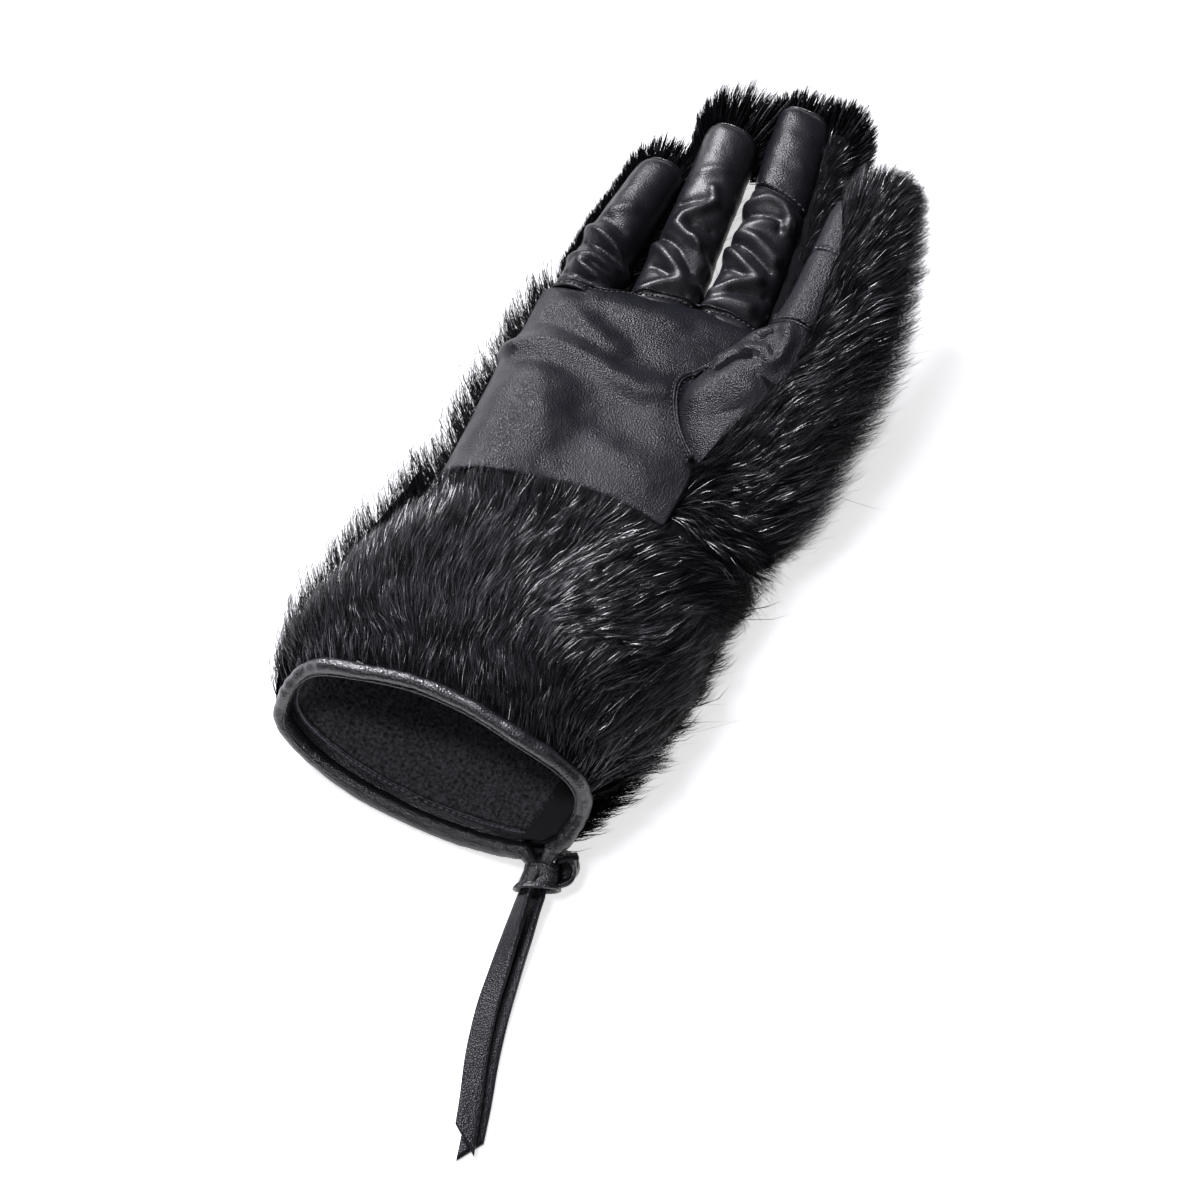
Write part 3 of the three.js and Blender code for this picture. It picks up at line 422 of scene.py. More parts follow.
THUMB = {"boxy": 2.1, "end": 222, "round": 16, "rows": columns("y x z half up down", [
    (48, 25.0, 21, 17.0, 13.0, 12.0), (70, 20.0, 27, 25.0, 17.0, 16.0), (90, 15.0, 32, 28.0, 16.0, 17.0),
    (112, 19.0, 38, 25.5, 14.5, 15.0), (135, 25.0, 43, 18.5, 12.5, 12.5), (165, 25.0, 46, 16.5, 12.0, 11.5),
    (200, 22.8, 48, 15.6, 11.0, 10.5), (222, 21.8, 49, 14.0, 10.0, 9.5),
])}


# %% A point of the skin
def ramp(value, low, high):
    """0 up to `low` and 1 from `high` on, with a soft step between."""
    t = np.clip((value - low) / (high - low), 0, 1)
    return t * t * (3 - 2 * t)


def knuckle_slant(row, x):
    """The row of knuckles isn't square to the hand: it rises towards the thumb side."""
    return ramp(row, 95, 145) * 0.16 * (x + 32)


def slant(row, x, degrees):
    """How far the slanted mouth and the knuckles move a point of a row along Y."""
    turned = np.mod(degrees + 90, 360) - 90
    at_mouth = 1 - ramp(row, MOUTH_Y, -5)
    return at_mouth * (smooth(MOUTH, "y", turned, "angle") - MOUTH_Y) + knuckle_slant(row, x)


def skin(limb, row, degrees, inset=0.0):
    """Points of a limb's skin and the way that it faces, both in pattern millimetres."""
    row, degrees = np.broadcast_arrays(np.asarray(row, float), np.asarray(degrees, float))
    table = limb["rows"]
    start = limb["end"] - limb["round"]
    past = np.clip((row - start) / (limb["round"] - inset), 0, 1)
    square = limb.get("square", 2.0)
    shrink = np.maximum(1 - past**square, 0) ** (1 / square)
    cos, sin = np.cos(np.radians(degrees)), np.sin(np.radians(degrees))
    half = (smooth(table, "half", row) - inset) * shrink
    tall = (np.where(sin >= 0, smooth(table, "up", row), smooth(table, "down", row)) - inset) * shrink
    middle = smooth(table, "z", row) if "z" in table else np.interp(row, SIDE_SEAM["y"], SIDE_SEAM["z"])
    power = 2 / limb["boxy"]
    x = smooth(table, "x", row) + half * np.sign(cos) * np.abs(cos) ** power
    z = middle + tall * np.sign(sin) * np.abs(sin) ** power
    y = row + slant(row, x, degrees) if limb is BODY else row
    facing = unit(np.stack([cos * (tall + 1), 40 * past**2, sin * (half + 1)], axis=-1))
    return np.stack([x, y, z], axis=-1), facing


# %% [markdown]
# ## Panels
# A glove is cut as flat panels. Each panel here is a grid of points on the skin between two
# boundary angles. A cloth simulation would fold it by chance, while the folds of a worn glove are
# set and can be drawn from the photograph, so each is a line with a width and a height. The edges
# are turned down a little, as a seam pulls leather in. A thin Solidify gives the thickness.

# %% Folds, waves and seam edges
def near_line(x, y, line):
    """Distance in plan to a line of points."""
    line = np.asarray(line, float)
    best = np.full(np.shape(x), 1e9)
    for (ax, ay), (bx, by) in zip(line[:-1], line[1:]):
        t = np.clip(((x - ax) * (bx - ax) + (y - ay) * (by - ay)) / ((bx - ax) ** 2 + (by - ay) ** 2), 0, 1)
        best = np.minimum(best, np.hypot(x - ax - t * (bx - ax), y - ay - t * (by - ay)))
    return best


def waves(points, length, seed, octaves=3):
    """Smooth pseudo-random waves between about -1 and 1."""
    chance = np.random.default_rng(seed)
    total = np.zeros(points.shape[:-1])
    for octave in range(octaves):
        for _ in range(4):
            way = unit(chance.normal(size=3)) * 2 * math.pi / length * 2**octave
            total += np.sin(points @ way + chance.uniform(0, 6.28)) * 0.5**octave
    return total / 3


def folded(points, facing, folds, sharp=True):
    """Adds ridges and creases; each has a width, a rise and its line seen from above.

    A ridge stays round. A crease (a rise below zero) is pinched, unless the leather is thick.
    """
    for width, rise, line in folds:
        away = near_line(points[..., 0], points[..., 1], line) / width
        shape = np.exp(-1.2 * away) if rise < 0 and sharp else np.exp(-(away**2))
        points = points + facing * (rise * shape)[..., None]
    return points


def turned_edges(points, facing, lines, depth, width):
    """Presses the leather down by `depth` along its seams."""
    for line in lines:
        away = near_line(points[..., 0], points[..., 1], line)
        points = points - facing * (depth * np.exp(-((away / width) ** 2)))[..., None]
    return points


def panel(name, points, material, slot, *nodes, thick=1.5):
    """A grid of points as a sheet of leather or cloth, `thick` millimetres thick."""
    piece = mesh_object(name, points.reshape(-1, 3), grid_faces(*points.shape[:2]), material)
    shell = piece.modifiers.new("thickness", "SOLIDIFY")
    shell.thickness = thick * MM
    shell.offset = -1
    print(name, len(piece.data.polygons), "faces")
    return worn(piece, slot, *nodes)


def stretched(line, count):
    """A line resampled to `count` even places."""
    line = np.asarray(line, float)
    steps = np.concatenate([[0], np.cumsum(np.linalg.norm(np.diff(line, axis=0), axis=1))])
    at = np.linspace(0, steps[-1], count)
    return np.stack([np.interp(at, steps, line[:, k]) for k in range(line.shape[1])], axis=1)


# %% [markdown]
# ## Palm
# The palm is one smooth panel between the arch of the cuff, the finger seams and the thumb. It
# sags into the hollow of the hand and has two long soft creases towards the thumb. A rectangle
# cut to shape would leave a ragged edge, so the grid is stretched between four boundary lines
# and its first and last rows are the seams themselves.

# %% Palm
ARCH = [(-84, 21), (-71, 23), (-56, 27.5), (-42, 32), (-27, 35), (-10, 36), (10, 34)]
PALM_RIGHT = [(10, 34), (8, 66), (13, 90), (20, 116), (27, 138)]
FINGER_BASE = [(-88, 129), (-59, 135), (-46, 137), (-26, 141.5), (-7, 142.5), (8, 142), (27, 138)]


def angle_across(limb, row, x, shrink=1.0):
    """The angle on a limb's palm side that lies at this place across it."""
    table = limb["rows"]
    share = np.clip((x - smooth(table, "x", row)) / (smooth(table, "half", row) * shrink), -1, 1)
    return np.degrees(np.arccos(np.sign(share) * np.abs(share) ** (limb["boxy"] / 2)))


def on_hand(line):
    """Rows and angles of the hand's skin under a line seen from above."""
    x, y = np.asarray(line, float).T
    row = y.copy()
    for _ in range(12):
        row = y - knuckle_slant(row, x)
    start = BODY["end"] - BODY["round"]
    shrink = np.sqrt(1 - np.clip((row - start) / BODY["round"], 0, 0.995) ** 2)
    return np.stack([row, angle_across(BODY, row, x, shrink)], axis=1)


def four_sided(bottom, top, left, right, rows, across):
    """A grid of rows and angles inside four boundary lines."""
    bottom, top = stretched(bottom, across)[None], stretched(top, across)[None]
    left, right = stretched(left, rows)[:, None], stretched(right, rows)[:, None]
    s = np.linspace(0, 1, across)[None, :, None]
    t = np.linspace(0, 1, rows)[:, None, None]
    corners = ((1 - s) * (1 - t) * bottom[:, :1] + s * (1 - t) * bottom[:, -1:]
               + (1 - s) * t * top[:, :1] + s * t * top[:, -1:])
    return (1 - t) * bottom + t * top + (1 - s) * left + s * right - corners


PALM_FOLDS = [
    (5.8, 2.1, [(-82, 89), (-69, 95), (-59, 95), (-48, 93), (-38, 90), (-26, 88), (-18, 92)]),
    (5.6, 1.2, [(-74, 117), (-67, 112), (-58, 107), (-46, 102)]),
    (5.5, 1.2, [(-64, 123), (-47, 125), (-31, 126)]),
    (6.0, -1.2, [(-76, 106), (-66, 102), (-54, 100), (-40, 98)]),
    (7.5, -1.1, [(-74, 84), (-53, 85), (-40, 81), (-28, 79)]),
    (5.5, -1.0, [(-56, 115), (-42, 110), (-34, 105)]), (8.0, -0.9, [(-44, 72), (-20, 66)]),
    (8.0, 0.9, [(-66, 76), (-50, 52)]), (22.0, 2.2, [(-62, 22), (-60, 58)]),
    (7.0, 0.7, [(-26, 56), (-6, 52)]), (30.0, 4.6, [(-86, 20), (-84, 52), (-84, 76)]),
    (18.0, -1.8, [(-40, 36), (-40, 66)]), (3.5, 1.4, [(-88, 88), (-84, 89)]),
]


def palm():
    """The panel between its four boundary lines, with its folds; its left side ends at the seam."""
    bottom, top = on_hand(ARCH), on_hand(FINGER_BASE)
    bottom[0], top[0] = (20.5, 182), (138.5, 182)
    left = np.array([bottom[0], top[0]])
    params = four_sided(bottom, top, left, on_hand(PALM_RIGHT), 96, 96)
    points, facing = skin(BODY, params[..., 0], params[..., 1])
    points = points + facing * (0.32 * waves(points, 34, 3))[..., None]
    points = folded(points, facing, PALM_FOLDS, sharp=False)
    points = turned_edges(points, facing, [FINGER_BASE, ARCH], 1.0, 1.3)
    return panel("palm_leather_skin", points, matte_leather, "leather_matte", "palm_leather")


palm()

# %% [markdown]
# ## Finger fronts
# The leather of each finger is longer than the finger, so it gathers across the knuckles into
# bent, shiny folds. Noise alone would give lumps without a direction. The folds are a table of
# short ridges and valleys, each a line seen from above, with only a little noise on top.

# %% Finger fronts
LEFT_EDGE = 181


def finger_panel(name, limb, base, tip, folds, material, slot, node_name, edges, right=-1, slants=(0, 0)):
    """A half tube of leather from the base line to the tip, both given as rows.

    `slants` lowers the right end of each and raises the left one, as a seam across the finger does.
    """
    along, around = int((tip - base) / 0.95) + 2, 42
    row = np.linspace(base, tip, along)[:, None]
    if tip >= limb["end"] - 0.5:
        start = limb["end"] - limb["round"]
        past = np.clip((row - start) / (tip - start), 0, 1)
        row = np.where(row > start, start + (tip - start) * np.sin(past * math.pi / 2) ** 0.9, row)
    share = np.linspace(0, 1, around)[None, :]
    right_angle = right(row) if callable(right) else right
    degrees = LEFT_EDGE + (right_angle - LEFT_EDGE) * share
    far = np.clip((row - base) / (tip - base), 0, 1)
    row = row - np.cos(np.radians(degrees)) * (slants[0] * (1 - far) ** 2 + slants[1] * far**2)
    points, facing = skin(limb, row, degrees)
    points = folded(points, facing, folds)
    points = points + facing * (0.2 * waves(points, 16, 5 + len(name)))[..., None]
    points = turned_edges(points, facing, edges, 0.9, 1.2)
    return panel(name, points, material, slot, node_name, thick=1.2)


BASE_EDGE = [FINGER_BASE]
PINKY_FOLDS = [
    (2.6, 2.2, [(-84, 157), (-74, 153), (-68, 150), (-62, 144)]), (2.2, -0.9, [(-80, 163), (-70, 159)]),
    (1.7, -2.3, [(-84, 150.5), (-74, 148), (-64, 145.5)]), (2.4, 1.9, [(-85, 142), (-75, 143.5), (-66, 142)]),
    (1.5, -1.9, [(-76, 140), (-66, 138.7), (-60, 136)]), (2.2, 1.7, [(-81, 139), (-69, 135), (-58, 131)]),
    (1.6, -1.6, [(-84, 134), (-74, 132), (-66, 130)]), (3.0, 0.8, [(-80, 168), (-72, 171)]),
]
RING_FOLDS = [
    (2.3, 2.2, [(-46, 193), (-43, 188), (-46.5, 182), (-51.5, 177), (-52, 172), (-47, 169), (-40, 166)]),
    (1.6, -1.7, [(-48, 187), (-56, 183)]), (1.8, -2.3, [(-47, 174.5), (-38, 176)]),
    (2.6, 1.8, [(-42, 167.5), (-34, 160)]),
    (1.6, -2.4, [(-56, 166), (-46, 161.5), (-37, 154.5)]), (2.6, 2.1, [(-56, 161), (-50, 157), (-40, 150)]),
    (1.6, -2.0, [(-53, 151), (-45, 149)]), (2.4, 1.9, [(-52, 138), (-42, 146), (-33, 149)]),
    (1.6, -1.7, [(-46, 139.5), (-34, 143.5)]), (3.0, 0.9, [(-54, 200), (-46, 204)]),
]
MIDDLE_FOLDS = [
    (2.4, 2.2, [(-30, 195), (-23, 199), (-16.5, 198.5), (-11, 193), (-10, 189)]),
    (1.6, -2.3, [(-31, 189.5), (-22, 191.5), (-15, 192), (-12.5, 187)]),
    (2.4, 1.3, [(-26, 184), (-20, 187.5), (-12, 189.5)]), (2.8, 2.2, [(-27, 180), (-19, 178.5), (-9, 174)]),
    (1.6, -2.5, [(-28, 176), (-18, 172.5), (-8, 168)]),
    (2.4, 2.3, [(-28, 172), (-21.7, 167.6), (-10.5, 161.7), (-17, 157), (-25, 150)]),
    (1.8, -1.8, [(-26, 163), (-17, 161.7)]), (1.8, -2.5, [(-18, 153), (-4, 157)]),
    (2.8, 1.9, [(-25, 144), (-18, 147), (-8, 148.5)]), (1.6, -1.5, [(-20, 142), (-4, 143.5)]),
]
MIDDLE_TIP_SEAM = [(-36, 205.8), (-32, 205.2), (-26, 203.7), (-20, 202.6), (-14, 201.3), (-9, 200), (-5, 199)]
finger_panel("pinky_front", PINKY, 126, 200, PINKY_FOLDS, satin_leather, "leather_shiny",
             "pinky_finger_leather", BASE_EDGE)
finger_panel("ring_front", RING, 132, 227, RING_FOLDS, shiny_leather, "leather_shiny",
             "ring_finger_leather", BASE_EDGE)
finger_panel("middle_front", MIDDLE, 137, 202.5, MIDDLE_FOLDS, shiny_leather, "leather_shiny",
             "middle_finger_leather", [*BASE_EDGE, MIDDLE_TIP_SEAM], slants=(0, 3))
finger_panel("middle_tip", MIDDLE, 202.8, 247, [], satin_leather, "leather_matte",
             "middle_finger_tip_leather", [MIDDLE_TIP_SEAM], slants=(3, 0))

INDEX_EDGE = columns("y x", [(138, 33), (141, 32), (160, 16), (185, 4), (202, -2.5), (216, -8.8)])


def index_right_edge(row):
    """The angle where the leather of the index finger ends and its fur begins."""
    return angle_across(INDEX, row, smooth(INDEX_EDGE, "x", row))


INDEX_FOLDS = [(2.0, 1.0, [(2, 152), (14, 146)])]
finger_panel("index_front", INDEX, 136, 216, INDEX_FOLDS, shiny_leather, "leather_shiny",
             "index_finger_leather", BASE_EDGE, right=index_right_edge)

# %% [markdown]
# ## Thumb strip
# The front of the thumb is a strip of leather in three parts. The base part is a soft dome that
# lies on the palm and is joined to it by a raised, twice-stitched welt. Its right side runs into
# the hair. One long panel would do for all three, but each seam is a real step in the leather,
# so each part is a panel of its own with its edges turned down.

# %% Thumb strip
THUMB_FUR_LINE = columns("y x", [
    (66, 8), (80, 13), (92, 18), (108, 24), (124, 25.0), (140, 23.4), (160, 19.8), (176, 17), (196, 8.5),
])


def thumb_right_edge(row):
    """The angle where hair begins, a little past the line so that hair roots cover the edge."""
    return angle_across(THUMB, row, smooth(THUMB_FUR_LINE, "x", row) + 1.5)


THUMB_LEFT_EDGE = 205
RING_1 = [(-10, 134), (60, 134)]
RING_2 = [(-10, 170.6), (60, 170.6)]
THUMB_RIDGE = (7.5, 1.8, [(18.5, 134), (16, 152), (13, 170), (9, 190)])
THUMB_FOLDS = [
    THUMB_RIDGE, (3.2, 1.9, [(-6, 114), (-3, 122), (2, 126), (9, 127.5)]),
    (2.8, -2.2, [(-3, 107), (1.5, 113), (7, 115.5)]), (2.6, -1.5, [(8, 123), (12, 128)]),
    (2.9, 1.6, [(5, 118), (12, 118), (17, 114), (19, 117), (19, 125), (16, 130)]),
    (5.0, 1.0, [(-4, 92), (5, 103), (14, 100)]), (3.2, -1.0, [(14, 108), (24, 104)]),
    (4.0, -0.8, [(4, 84), (14, 92)]),
]


def thumb_panel(name, base, tip, folds, node_name, edges):
    """One part of the strip on the thumb, from the palm's side to the line where hair begins."""
    row = np.linspace(base, tip, int((tip - base) / 0.85) + 2)[:, None]
    share = np.linspace(0, 1, 60)[None, :]
    degrees = THUMB_LEFT_EDGE + (thumb_right_edge(row) - THUMB_LEFT_EDGE) * share
    points, facing = skin(THUMB, row, degrees)
    points = points + facing * (0.12 * waves(points, 18, len(name), 2))[..., None]
    points = folded(points, facing, folds)
    points = turned_edges(points, facing, edges, 0.8, 1.0)
    return panel(name, points, matte_leather, "leather_matte", node_name, thick=1.2)


thumb_panel("thumb_base", 60, 134, THUMB_FOLDS, "thumb_base_leather", [RING_1])
thumb_panel("thumb_middle", 134.2, 171.5, [THUMB_RIDGE], "thumb_middle_leather", [RING_1, RING_2])
thumb_panel("thumb_tip", 170.2, 197, [THUMB_RIDGE], "thumb_tip_leather", [RING_2])

# %% [markdown]
# ## Lining and facing of the mouth
# Inside the mouth lie a narrow leather facing and a knit lining. Knitting every loop would cost
# far more faces than it shows at this distance. Two crossing wave patterns in the bump give the
# ribs, and noise in the colour gives the dull and dusty look of knit that has been worn.

# %% Knit lining
SLIT_ANGLE, SLIT_HALF = -36.0, 11
knit, knit_surface = shader("knit", (0.012, 0.012, 0.013), 0.95, Sheen_Weight=0.5, Sheen_Roughness=0.4)
knit_where = node(knit, "ShaderNodeTexCoord")
knit_bump = None
for way, scale, wobble, strength, depth in (("X", 150, 1.2, 0.8, 0.0004), ("Y", 190, 2.0, 0.6, 0.0003)):
    knit_ribs = node(knit, "ShaderNodeTexWave", wave_type="BANDS", bands_direction=way,
                     Scale=scale, Distortion=wobble)
    link(knit, knit_where.outputs["Object"], knit_ribs.inputs["Vector"])
    knit_bump = bump(knit, knit_surface, knit_ribs.outputs["Fac"], strength, depth, knit_bump)
knit_lint = noise(knit, 700, 4)
blend_colors(knit, spread(knit, knit_lint.outputs["Fac"], 0, 1), (0.0, 0.0, 0.001), (0.095, 0.095, 0.105),
             knit_surface.inputs["Base Color"])


def inner_tube(name, low, high, inset, material, slot, node_name, thick, rows):
    """A tube inside the cuff, open at the slit."""
    row = np.linspace(low, high, rows)[:, None]
    degrees = np.linspace(SLIT_ANGLE + SLIT_HALF, SLIT_ANGLE + 360 - SLIT_HALF, 110)[None, :]
    points, facing = skin(BODY, row, degrees, inset)
    points = points + facing * (0.25 * waves(points, 22, 8) - 0.15)[..., None]
    return panel(name, points, material, slot, node_name, thick=thick)


inner_tube("lining_skin", -81.4, 26, 2.7, knit, "knit", "cuff_lining", 1.0, 26)
inner_tube("facing_skin", -85.0, -80.6, 2.3, edge_leather, "leather_matte", "mouth_facing", 1.2, 10)


# %% [markdown]
# ## Binding of the mouth
# A rolled strip of leather binds the mouth. A circle swept round it would look like a rubber
# ring, because the real roll was pulled round by hand. So its thickness and its path waver a
# little, it gets slim at its two ends, and a thin turned edge follows it on the inside.

# %% A tube along any line
def tube(name, centre, facing, wide, tall, material, slot, *nodes, sides=10, pull=0.0):
    """A closed tube; `facing` is the way that its `tall` radius points at each centre."""
    centre = np.asarray(centre, float)
    heading = unit(np.gradient(centre, axis=0))
    up = unit(facing - heading * np.sum(facing * heading, axis=1, keepdims=True))
    side = np.cross(heading, up)
    turn = np.linspace(0, 2 * math.pi, sides, endpoint=False)
    wide, tall, pull = (np.broadcast_to(v, len(centre))[:, None] for v in (wide, tall, pull))
    points = (centre[:, None] + side[:, None] * (wide * np.cos(turn))[..., None]
              + up[:, None] * (tall * np.sin(turn) + pull)[..., None])
    return worn(mesh_object(name, *capped(points), material), slot, *nodes)


# %% Rolled binding
def binding():
    """The roll starts and ends at the knot, and a thin turned edge follows it inside the mouth."""
    degrees = np.linspace(SLIT_ANGLE + 8.5, SLIT_ANGLE + 360 - 8.5, 300)
    centre, facing = skin(BODY, MOUTH_Y, degrees, 1.1)
    front_end = stretched([(27.0, -101.0, 7.2), (27.8, -98.2, 9.6), centre[0]], 12)[:-1]
    rear_end = stretched([centre[-1], (22.2, -99.8, 8.4), (25.5, -101.5, 7.2)], 12)[1:]
    centre = np.concatenate([front_end, centre, rear_end])
    facing = np.concatenate([np.repeat(facing[:1], 11, axis=0), facing, np.repeat(facing[-1:], 11, axis=0)])
    wave = 1.02 + 0.09 * waves(centre, 25, 21) - 0.14 * facing[:, 2] + 0.03 * waves(centre * (1, 3, 1), 6, 23)
    slim = np.interp(np.arange(len(centre)), [0, 14, len(centre) - 15, len(centre) - 1], [0.62, 1, 1, 0.62])
    tube("binding_roll", centre, facing, 3.3 * wave * slim, 2.9 * wave * slim, edge_leather, "leather_matte",
         "cuff_binding", sides=20, pull=0.16 * waves(centre * (1, 3, 1), 5, 22) + 0.5 * waves(centre, 30, 25))
    inner = centre[11:-11] + np.array((0, -2.3, 0)) - 2.3 * facing[11:-11]
    tube("binding_turned_edge", inner, facing[11:-11], 0.55, 0.45, edge_leather, "leather_matte", sides=8)


binding()

# %% [markdown]
# ## Seams of the leather
# Every seam of the glove is sewn with black thread, about ten stitches to the inch. The edges of
# the leather stand up beside the thread as narrow lips. The folds make the leather uneven, so the
# height of a seam can't be read from a table. Rays are cast down on the finished leather instead,
# and the lips follow the places that they hit.

# %% Lines laid on the leather
from mathutils.bvhtree import BVHTree


def leather_surface(*names):
    """All the leather as one surface, to drop lines of stitches on."""
    points, faces = [], []
    for name in names:
        mesh, start = bpy.data.objects[name].data, len(points)
        points += [vertex.co.copy() for vertex in mesh.vertices]
        faces += [[start + k for k in face.vertices] for face in mesh.polygons]
    return BVHTree.FromPolygons(points, faces)


ALL_LEATHER = leather_surface("palm_leather_skin", "pinky_front", "ring_front", "middle_front", "middle_tip",
                              "index_front", "thumb_base", "thumb_middle", "thumb_tip")


def laid(line, step, rise=0.0):
    """Places every `step` millimetres along a line seen from above, dropped on the leather."""
    line = np.asarray(line, float)[:, :2]
    length = np.linalg.norm(np.diff(line, axis=0), axis=1).sum()
    places, facings = [], []
    for x, y in stretched(line, max(3, int(length / step) + 1)):
        hit, normal, _, _ = ALL_LEATHER.ray_cast(Vector(in_frame((x, y, 120))), Vector((0, 0, -1)))
        if hit is not None:
            normal = np.array(normal) * (1 if normal.z > 0 else -1)
            places.append(np.array(hit) / MM - PATTERN_ORIGIN + normal * rise)
            facings.append(normal)
    return np.array(places), np.array(facings)


def softened(points, times=4):
    """Each point moved towards its two neighbours, a few times over."""
    for _ in range(times):
        points = np.concatenate([points[:1], (points[:-2] + 2 * points[1:-1] + points[2:]) / 4, points[-1:]])
    return points


def lip(name, line, radius):
    """The raised edge of the leather along a seam."""
    places, facings = laid(line, 1.2, 0.15)
    return tube(name, softened(places), softened(facings), radius, radius,
                matte_leather, "leather_matte", sides=8)


# %% [markdown]
# ## Stitches
# A dashed line in a bump map would pass for stitches from far away. Here each one is a small
# spindle of thread that rises in its middle, so it casts its own shadow and stays true from the
# side. They are joined into a few meshes, which keeps the scene light.

# %% Thread
def thread_finish(name, dark, light):
    """Twisted thread: noise makes a fine bump for its lay, and in its colour paints the light and shade of
    the turns.
    """
    material, surface = shader(name, dark, 0.55, Sheen_Weight=0.3)
    # The colour between dark and light is painted light and shade of the twist; the bump from the same noise
    # is real.
    lay_bump_and_shade = noise(material, 1500, 2)
    blend_colors(material, spread(material, lay_bump_and_shade.outputs["Fac"], 0, 1), dark, light,
                 surface.inputs["Base Color"])
    bump(material, surface, lay_bump_and_shade.outputs["Fac"], 0.6, 0.0001)
    return material


black_thread = thread_finish("black_thread", (0.004, 0.004, 0.005), (0.012, 0.012, 0.014))
grey_thread = thread_finish("grey_thread", (0.10, 0.11, 0.14), (0.20, 0.21, 0.25))


def stitched(name, rows, material, long=1.5, thick=0.34):
    """Rows of stitches, each given as its places and the way they face, joined in one mesh."""
    starts, ends, rises = [], [], []
    for places, facings in rows:
        heading = unit(np.gradient(places, axis=0))
        starts.append(places - heading * long / 2 + facings * 0.05)
        ends.append(places + heading * long / 2 + facings * 0.05)
        rises.append(facings)
    start, end, rise = (np.concatenate(v) for v in (starts, ends, rises))
    side = unit(np.cross(end - start, rise))
    turn = np.linspace(0, 2 * math.pi, 6, endpoint=False)
    rings = []
    for along, size in ((0, 0.3), (0.25, 0.9), (0.5, 1.0), (0.75, 0.9), (1, 0.3)):
        centre = start + (end - start) * along + rise * (0.3 * math.sin(math.pi * along))
        rings.append(centre[:, None] + thick * size * (side[:, None] * np.cos(turn)[:, None]
                                                       + rise[:, None] * np.sin(turn)[:, None]))
    points = np.stack(rings, axis=1).reshape(-1, 3)
    faces = (grid_faces(5, 6, closed=True)[None] + np.arange(len(start))[:, None, None] * 30).reshape(-1, 4)
    print(name, len(start), "stitches")
    return worn(mesh_object(name, points, faces, material), "leather_matte")


# %% Seams of the fingers, the thumb and the palm
FINGER_STITCHES = [(-84, 127.9), (-72.4, 128.2), (-62.9, 129.2), (-55.9, 133.3), (-53, 135.5),
                   (-46.9, 137.3), (-41.4, 138.1), (-34.5, 140.5), (-28, 141.4), (-21, 141.2),
                   (-14.3, 141.8), (-8.1, 141.4), (2, 140.5)]
WELT_OUTER = [(-4.5, 121), (-6.7, 118.9), (-9.6, 113.6), (-12.6, 107.6), (-16.3, 103.3), (-16.9, 97.6),
              (-15, 91), (-12, 85), (-8.3, 79.6), (-4.1, 74.5), (0.6, 69.8), (4.4, 66)]
WELT_INNER = [(-1.2, 112), (-2.6, 108.8), (-6.3, 106.2), (-10.7, 104.8), (-13.1, 102.2), (-13.8, 98),
              (-11.6, 90.6), (-8.5, 84.3), (-4.9, 79), (-1, 74.8), (3.4, 70.8), (7.2, 67.6)]
RING_1_LINE = [(8.4, 133.8), (10.7, 133.6), (14, 133.4), (17.8, 133.5), (21.9, 132.8), (25.5, 132.2)]
RING_2_LINE = [(10.2, 171.3), (12.1, 170.4), (15.3, 169.6), (19.8, 169.2)]
TIP_LINE = MIDDLE_TIP_SEAM[1:-1]


def welt():
    """Two lips between the palm and the thumb, from the outer row of stitches to the inner one."""
    count = 60
    outer, out_facing = laid(stretched(WELT_OUTER, count), 1.2)
    inner, in_facing = laid(stretched(WELT_INNER, count), 1.2)
    outer, inner, out_facing, in_facing = (stretched(v, count) for v in (outer, inner, out_facing, in_facing))
    facing = unit(out_facing + in_facing)
    for name, share in (("welt_palm_lip", 0.33), ("welt_thumb_lip", 0.72)):
        centre = softened(outer + (inner - outer) * share + facing * 0.35)
        tube(name, centre, facing, 0.75, 0.85, matte_leather, "leather_matte", sides=8)


def tip_rim(name, limb):
    """The cut edge of the leather cap, which catches the light above the hair."""
    centre, facing = skin(limb, limb["end"] - 1.0, np.linspace(8, 172, 60))
    centre = centre + facing * 0.1 + np.array((0.0, 0.2, 0.0))
    tube(name, centre, facing, 0.55, 0.5, edge_leather, "leather_matte", sides=8)


for name, limb in (("pinky_rim", PINKY), ("ring_rim", RING), ("middle_rim", MIDDLE)):
    tip_rim(name, limb)
welt()
lip("finger_seam_lip", np.array(FINGER_STITCHES) + (0, 1.8), 0.6)
lip("ring_1_lip", RING_1_LINE, 0.65)
lip("ring_2_lip", RING_2_LINE, 0.55)
lip("middle_tip_lip", TIP_LINE, 0.5)
SEWN_LINES = (FINGER_STITCHES, WELT_OUTER, WELT_INNER, np.array(RING_1_LINE) + (0, 1.9),
              np.array(TIP_LINE) + (0, 1.5))
stitched("leather_stitches", [laid(line, 2.3) for line in SEWN_LINES], black_thread)
stitched("ring_2_stitches", [laid(RING_2_LINE, 1.9, 0.5)], grey_thread, long=1.2, thick=0.3)
hem_places, hem_facings = skin(BODY, -80.9, np.linspace(172, 312, 62), 3.5)
stitched("hem_stitches", [(hem_places, -hem_facings)], grey_thread, long=1.8, thick=0.4)
hem_fold, hem_fold_facings = skin(BODY, -79.8, np.linspace(170, 313, 120), 3.3)
tube("hem_fold", hem_fold, hem_fold_facings, 0.8, 0.6, edge_leather, "leather_matte", sides=8)

# %% [markdown]
# ## Hair
# Horsehide has straight, glossy hair about a centimetre long. It lies along the skin, turns in
# swirls and stands out at the sides as tufts. Blender's hair curves would be the usual way, but
# this coat has to leave Blender as plain meshes. So each long hair is a thin blade with two
# bends, which gives the highlight somewhere to slide, and short three-sided spikes fill the coat.

